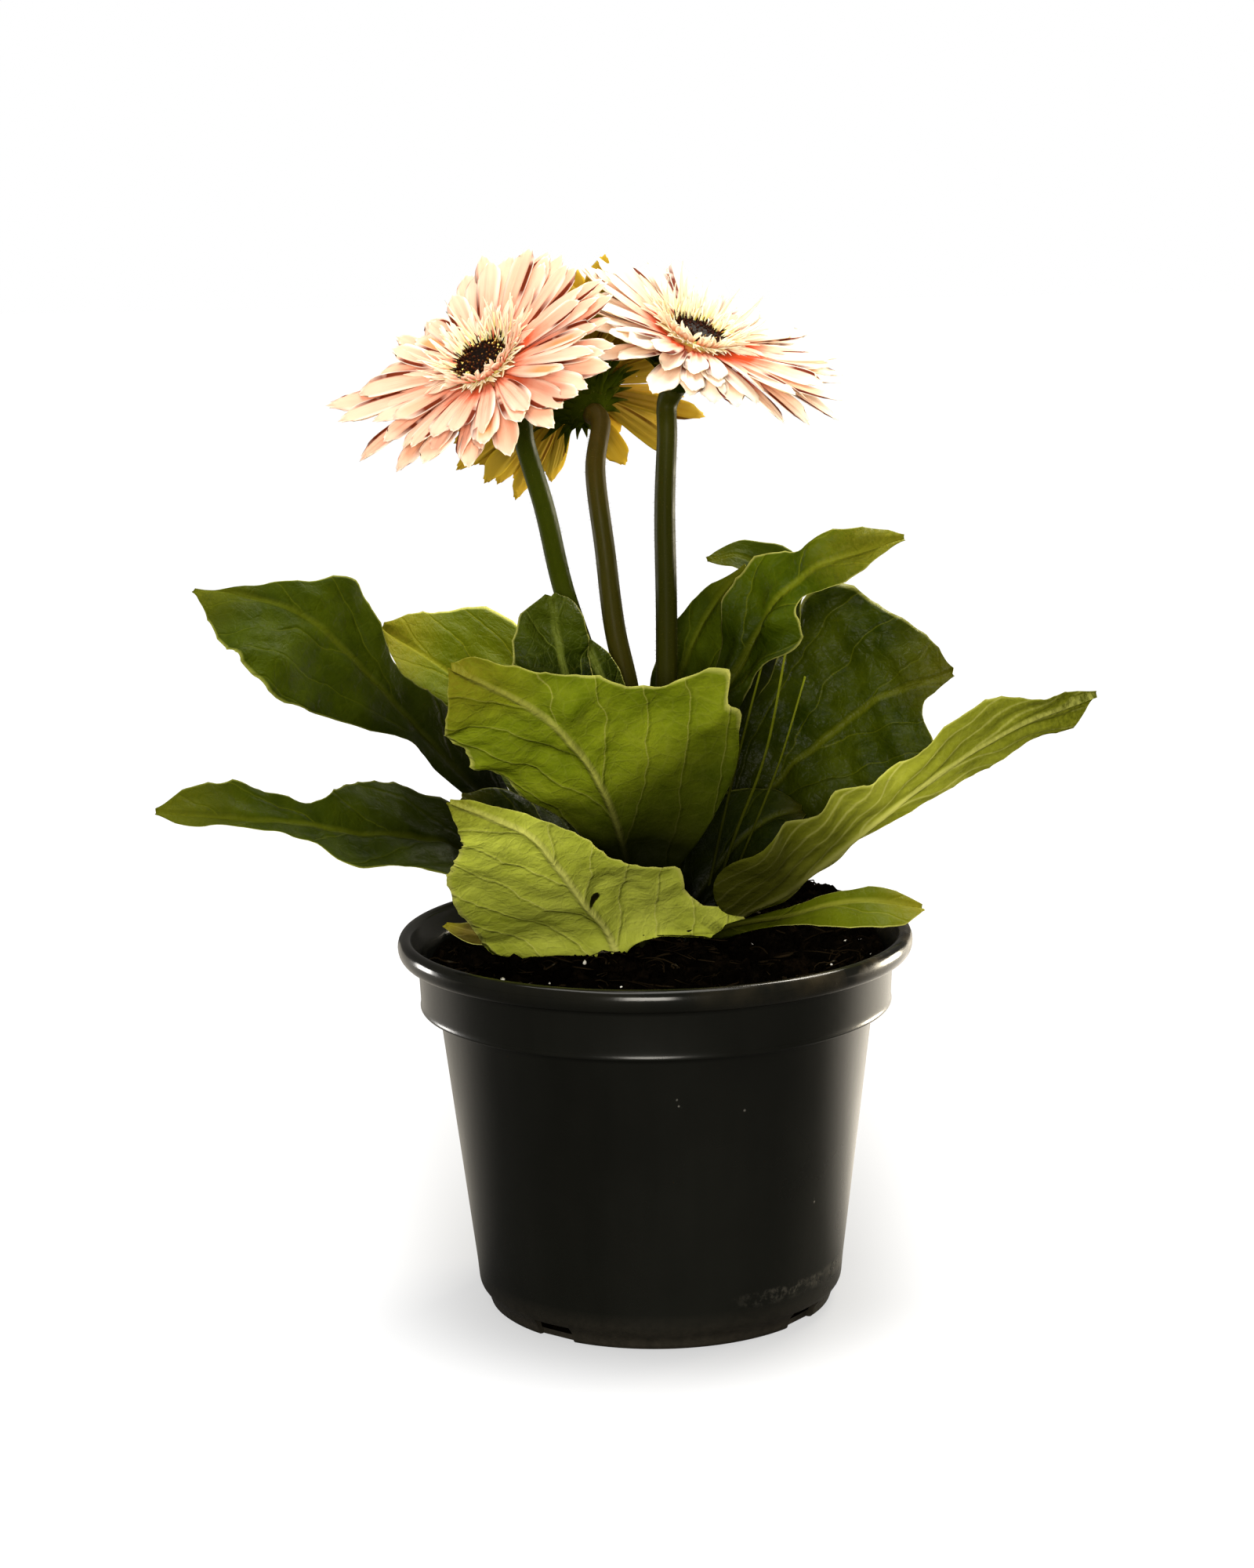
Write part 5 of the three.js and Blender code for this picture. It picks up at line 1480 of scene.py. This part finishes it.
# %% [markdown]
# ## Crest
# Between petals and eye stand the trans florets: two rows of short pink straps, then three rows of thin pale
# strands that rise ever steeper. On the low side of the head, straps and strands are shorter and lie down, so
# the eye can be seen over them.

# %% Crest
CREST_ROWS = (  # florets, root, length, rise, half width, finish
    (50, 8.0, 14.5, 20, 0.85, 0), (50, 7.8, 11.0, 40, 0.7, 0), (66, 7.5, 11.0, 42, 0.38, 1),
    (56, 7.2, 7.5, 56, 0.34, 1), (40, 6.9, 4.5, 68, 0.3, 1),
)


def build_crest(name, head, seed):
    draw = np.random.default_rng(seed)
    sets = []
    for count, root, length, rise, half, pale in CREST_ROWS:
        turn = even_turns(count) + 0.09 * draw.normal(size=count)
        outward = np.stack([np.cos(turn), np.sin(turn)], 1) @ turn_of(head)[:, :2].T
        low = np.clip(-1.8 * outward[:, 1], 0, 1)
        length = length * (1 - (0.45 if pale else 0.52) * low)
        rise = rise * (1 - 0.75 * low) if pale else rise + 30 * low
        stray = 1 - 0.75 * low
        strand = head_blades(
            count, 9, 3 if pale else 5, draw, root=root,
            length=length * (0.92 + 0.27 * stray * draw.uniform(-1, 0.85, count)),
            half=half * draw.uniform(0.8, 1.2, count), rise=rise + 8 * stray * draw.normal(size=count),
            droop=12 * stray * draw.normal(size=count), height=1.5 + 0.4 * draw.random(count), turn=turn,
            profile=STRAP, round_tip=0.05, cup=draw.uniform(0.2, 0.7, count),
            curl=(1.6 if pale else 2.4) * stray * draw.normal(size=count),
            twist=(30 if pale else 60) * draw.normal(size=count), thickness=0.3,
            bend=1.8 * draw.normal(size=count),
        )
        strand["finish"] = strand["finish"] * 0 + pale
        if not pale:
            strand["tint"] = np.maximum(strand["tint"], np.repeat(low, len(strand["tint"]) // count))
        sets.append(strand)
    hub = lathe([(0.01, 0.9), (8.6, 0.9), (8.0, 2.4), (0.01, 2.4)], 32)
    finishes = (FRINGE_FINISHES[name], strand_finish)
    return make_head_part(f"crest_{name}", sets, [(*hub, 1, 0.1)], finishes, "crest", head)


print("florets in a crest:", sum(row[0] for row in CREST_ROWS))

# %% [markdown]
# ## Eye
# The unopened florets spiral out from the middle, each turned from the last by the golden angle, which packs
# them evenly. Each is a short dark bud, some with a gold tip, and dark bristles stand between them.

# %% Eye
eye_finish, tree, shader = new_finish("dark florets", Specular_IOR_Level=0.03)
velvet = noise_of(spot_in(tree), 700, 4)
place = marks_of(tree, "part")[0] + velvet * 0.3 - 0.15
shade = place.ramp((0.2, (0.004, 0.0014, 0.0006)), (0.55, (0.045, 0.01, 0.004)), (0.75, (0.2, 0.09, 0.015)),
                   (0.88, (0.85, 0.68, 0.2)))
fill(shader, {"Base Color": shade, "Roughness": velvet.between(0.3, 0.7, 0.5, 0.8)})
bump(shader, velvet, 0.6, 0.2)

EYE_RADIUS = 7.4
GOLDEN_ANGLE = 2.399963
BUDS, BRISTLES = 190, 60
BUD_RADII = np.array([0.3, 0.36, 0.42, 0.4, 0.1])
BRISTLE_RADII = np.array([0.2, 0.17, 0.15, 0.18, 0.06])


def eye_points(radius, turn, level):
    return np.stack([radius * np.cos(turn)[:, None], radius * np.sin(turn)[:, None], level], -1)


def build_eye(name, head, seed):
    draw = np.random.default_rng(seed)
    s = np.linspace(0, 1, 5)
    place = np.arange(BUDS) + 0.5
    radius = EYE_RADIUS * np.sqrt(place / BUDS)
    turn = place * GOLDEN_ANGLE + 0.08 * draw.normal(size=BUDS)
    level = 2.8 + 0.6 * (1 - 0.75 * (radius / 7.6) ** 2)
    height = draw.uniform(0.3, 1.1, BUDS) + 0.7 * (radius / 7.5) ** 3
    reach = radius[:, None] + 0.1 * radius[:, None] * s
    paths = eye_points(reach, turn, level[:, None] - 0.7 + (height[:, None] + 0.3) * s)
    buds = tubes(paths, BUD_RADII * draw.uniform(0.7, 1.15, (BUDS, 1)), 6)
    bright = np.where(radius > 5.2, draw.uniform(0.1, 1.0, BUDS), draw.uniform(0, 0.55, BUDS))
    bright *= head.get("gold", 1)
    bud_part = (np.array([0, 0.3, 0.5, 0.75, 1.0]) * (0.35 + 0.8 * bright[:, None])).repeat(6, 1).ravel()

    turn = draw.uniform(0, 2 * np.pi, BRISTLES)
    start, tall = draw.uniform(5, 8, (BRISTLES, 1)), draw.uniform(1.8, 3.6, (BRISTLES, 1))
    lean = np.radians(draw.uniform(30, 65, (BRISTLES, 1)))
    paths = eye_points(start + tall * np.cos(lean) * s**1.2, turn, 3.0 + tall * np.sin(lean) * s)
    bristles = tubes(paths, BRISTLE_RADII * np.ones((BRISTLES, 1)), 5)
    tips = draw.uniform(0.2, 1.0, (BRISTLES, 1))
    bristle_part = (np.array([0.1, 0.2, 0.3, 0.6, 1.0]) * tips).repeat(5, 1).ravel()

    dome = lathe([(0.01, 2.7), (7.3, 2.7), (7.6, 3.1), (6, 3.3), (3.5, 3.5), (0.01, 3.6)], 40)
    points, faces = joined(buds, bristles, dome)
    part = np.concatenate([bud_part, bristle_part, np.zeros(len(dome[0]))])
    return make_piece(f"eye_{name}", placed(points, head), faces, (eye_finish,), "eye", None, {"part": part})


print("buds in an eye:", BUDS)

# %% [markdown]
# ## Bracts
# The cup under a head is covered by four rows of narrow green bracts that overlap like roof tiles, and by
# hairs. Their finish has no gloss, because the felt on them scatters the light.

# %% Bracts
bract_finish, tree, shader = new_finish("bract green", Roughness=0.7, Specular_IOR_Level=0.0)
mottle = noise_of(spot_in(tree), 220, 5, Roughness=0.65)
place = marks_of(tree, "part")[0] + mottle * 0.5 - 0.25
skin = place.ramp((0.1, (0.022, 0.03, 0.001)), (0.6, (0.012, 0.018, 0.0006)), (0.95, (0.05, 0.05, 0.004)))
fill(shader, {"Base Color": skin})
bump(shader, mottle, 0.6, 0.3)

CUP = [
    (0.01, -NECK), (3.5, -NECK), (4.3, -14.9), (5.6, -13.2), (7.2, -10.6), (8.2, -7.8), (8.9, -5), (9.4, -2.8),
    (9.6, -1.8), (0.01, -1.8),
]
BRACT_ROWS = ((5.0, -13.2, 11.0, 44), (6.4, -11.2, 12.5, 38), (7.6, -8.6, 12.5, 29), (8.4, -6.0, 11.5, 17))
BRACTS_IN_ROW = 17
CUP_HAIRS = 260


def build_involucre(name, head, seed):
    draw = np.random.default_rng(seed)
    cup = lathe(CUP, 36)
    sets = []
    count = BRACTS_IN_ROW
    for row, (root, height, length, rise) in enumerate(BRACT_ROWS):
        turn = even_turns(count, 0.5 * (row % 2)) + 0.05 * draw.normal(size=count)
        blades = head_blades(
            count, 9, 5, draw, root=root, length=length * draw.uniform(0.8, 1.12, count), half=1.5,
            rise=rise + 7 * draw.normal(size=count), droop=4 + 4 * draw.normal(size=count), height=height,
            turn=turn, profile=BRACT, round_tip=0.02, cup=0.3, thickness=0.5, twist=6 * draw.normal(size=count),
            curl=draw.uniform(-2.0, 0.6, count), bend=1.2 * draw.normal(size=count),
        )
        blades["finish"] = blades["finish"] * 0
        sets.append(blades)
    ring = cup[0][draw.integers(0, len(cup[0]), CUP_HAIRS)]
    ring = ring[(ring[:, 2] < -2.5) & (np.hypot(*ring[:, :2].T) > 3.4)]
    roots = ring + 0.2 * draw.normal(size=ring.shape)
    hairs = hairs_on(roots, unit(ring * (1, 1, 0) + (0, 0, -2)), draw, 1.0)
    bodies = [(*cup, 0, 0.2), (*hairs, 1, 0.5)]
    return make_head_part(f"involucre_{name}", sets, bodies, (bract_finish, hair_finish), "bract", head)


print("bracts in a cup:", BRACTS_IN_ROW * len(BRACT_ROWS))

# %% [markdown]
# ## Build the heads
# Each head draws its random numbers from seeds of its own, so the heads differ but come out the same each time.

# %% Build the heads
for number, (name, head) in enumerate(HEADS.items()):
    for seed, build in zip((60, 70, 80, 90), (build_rays, build_crest, build_eye, build_involucre)):
        piece = build(name, head, seed + number)
        print(piece.name, len(piece.data.polygons), "faces")
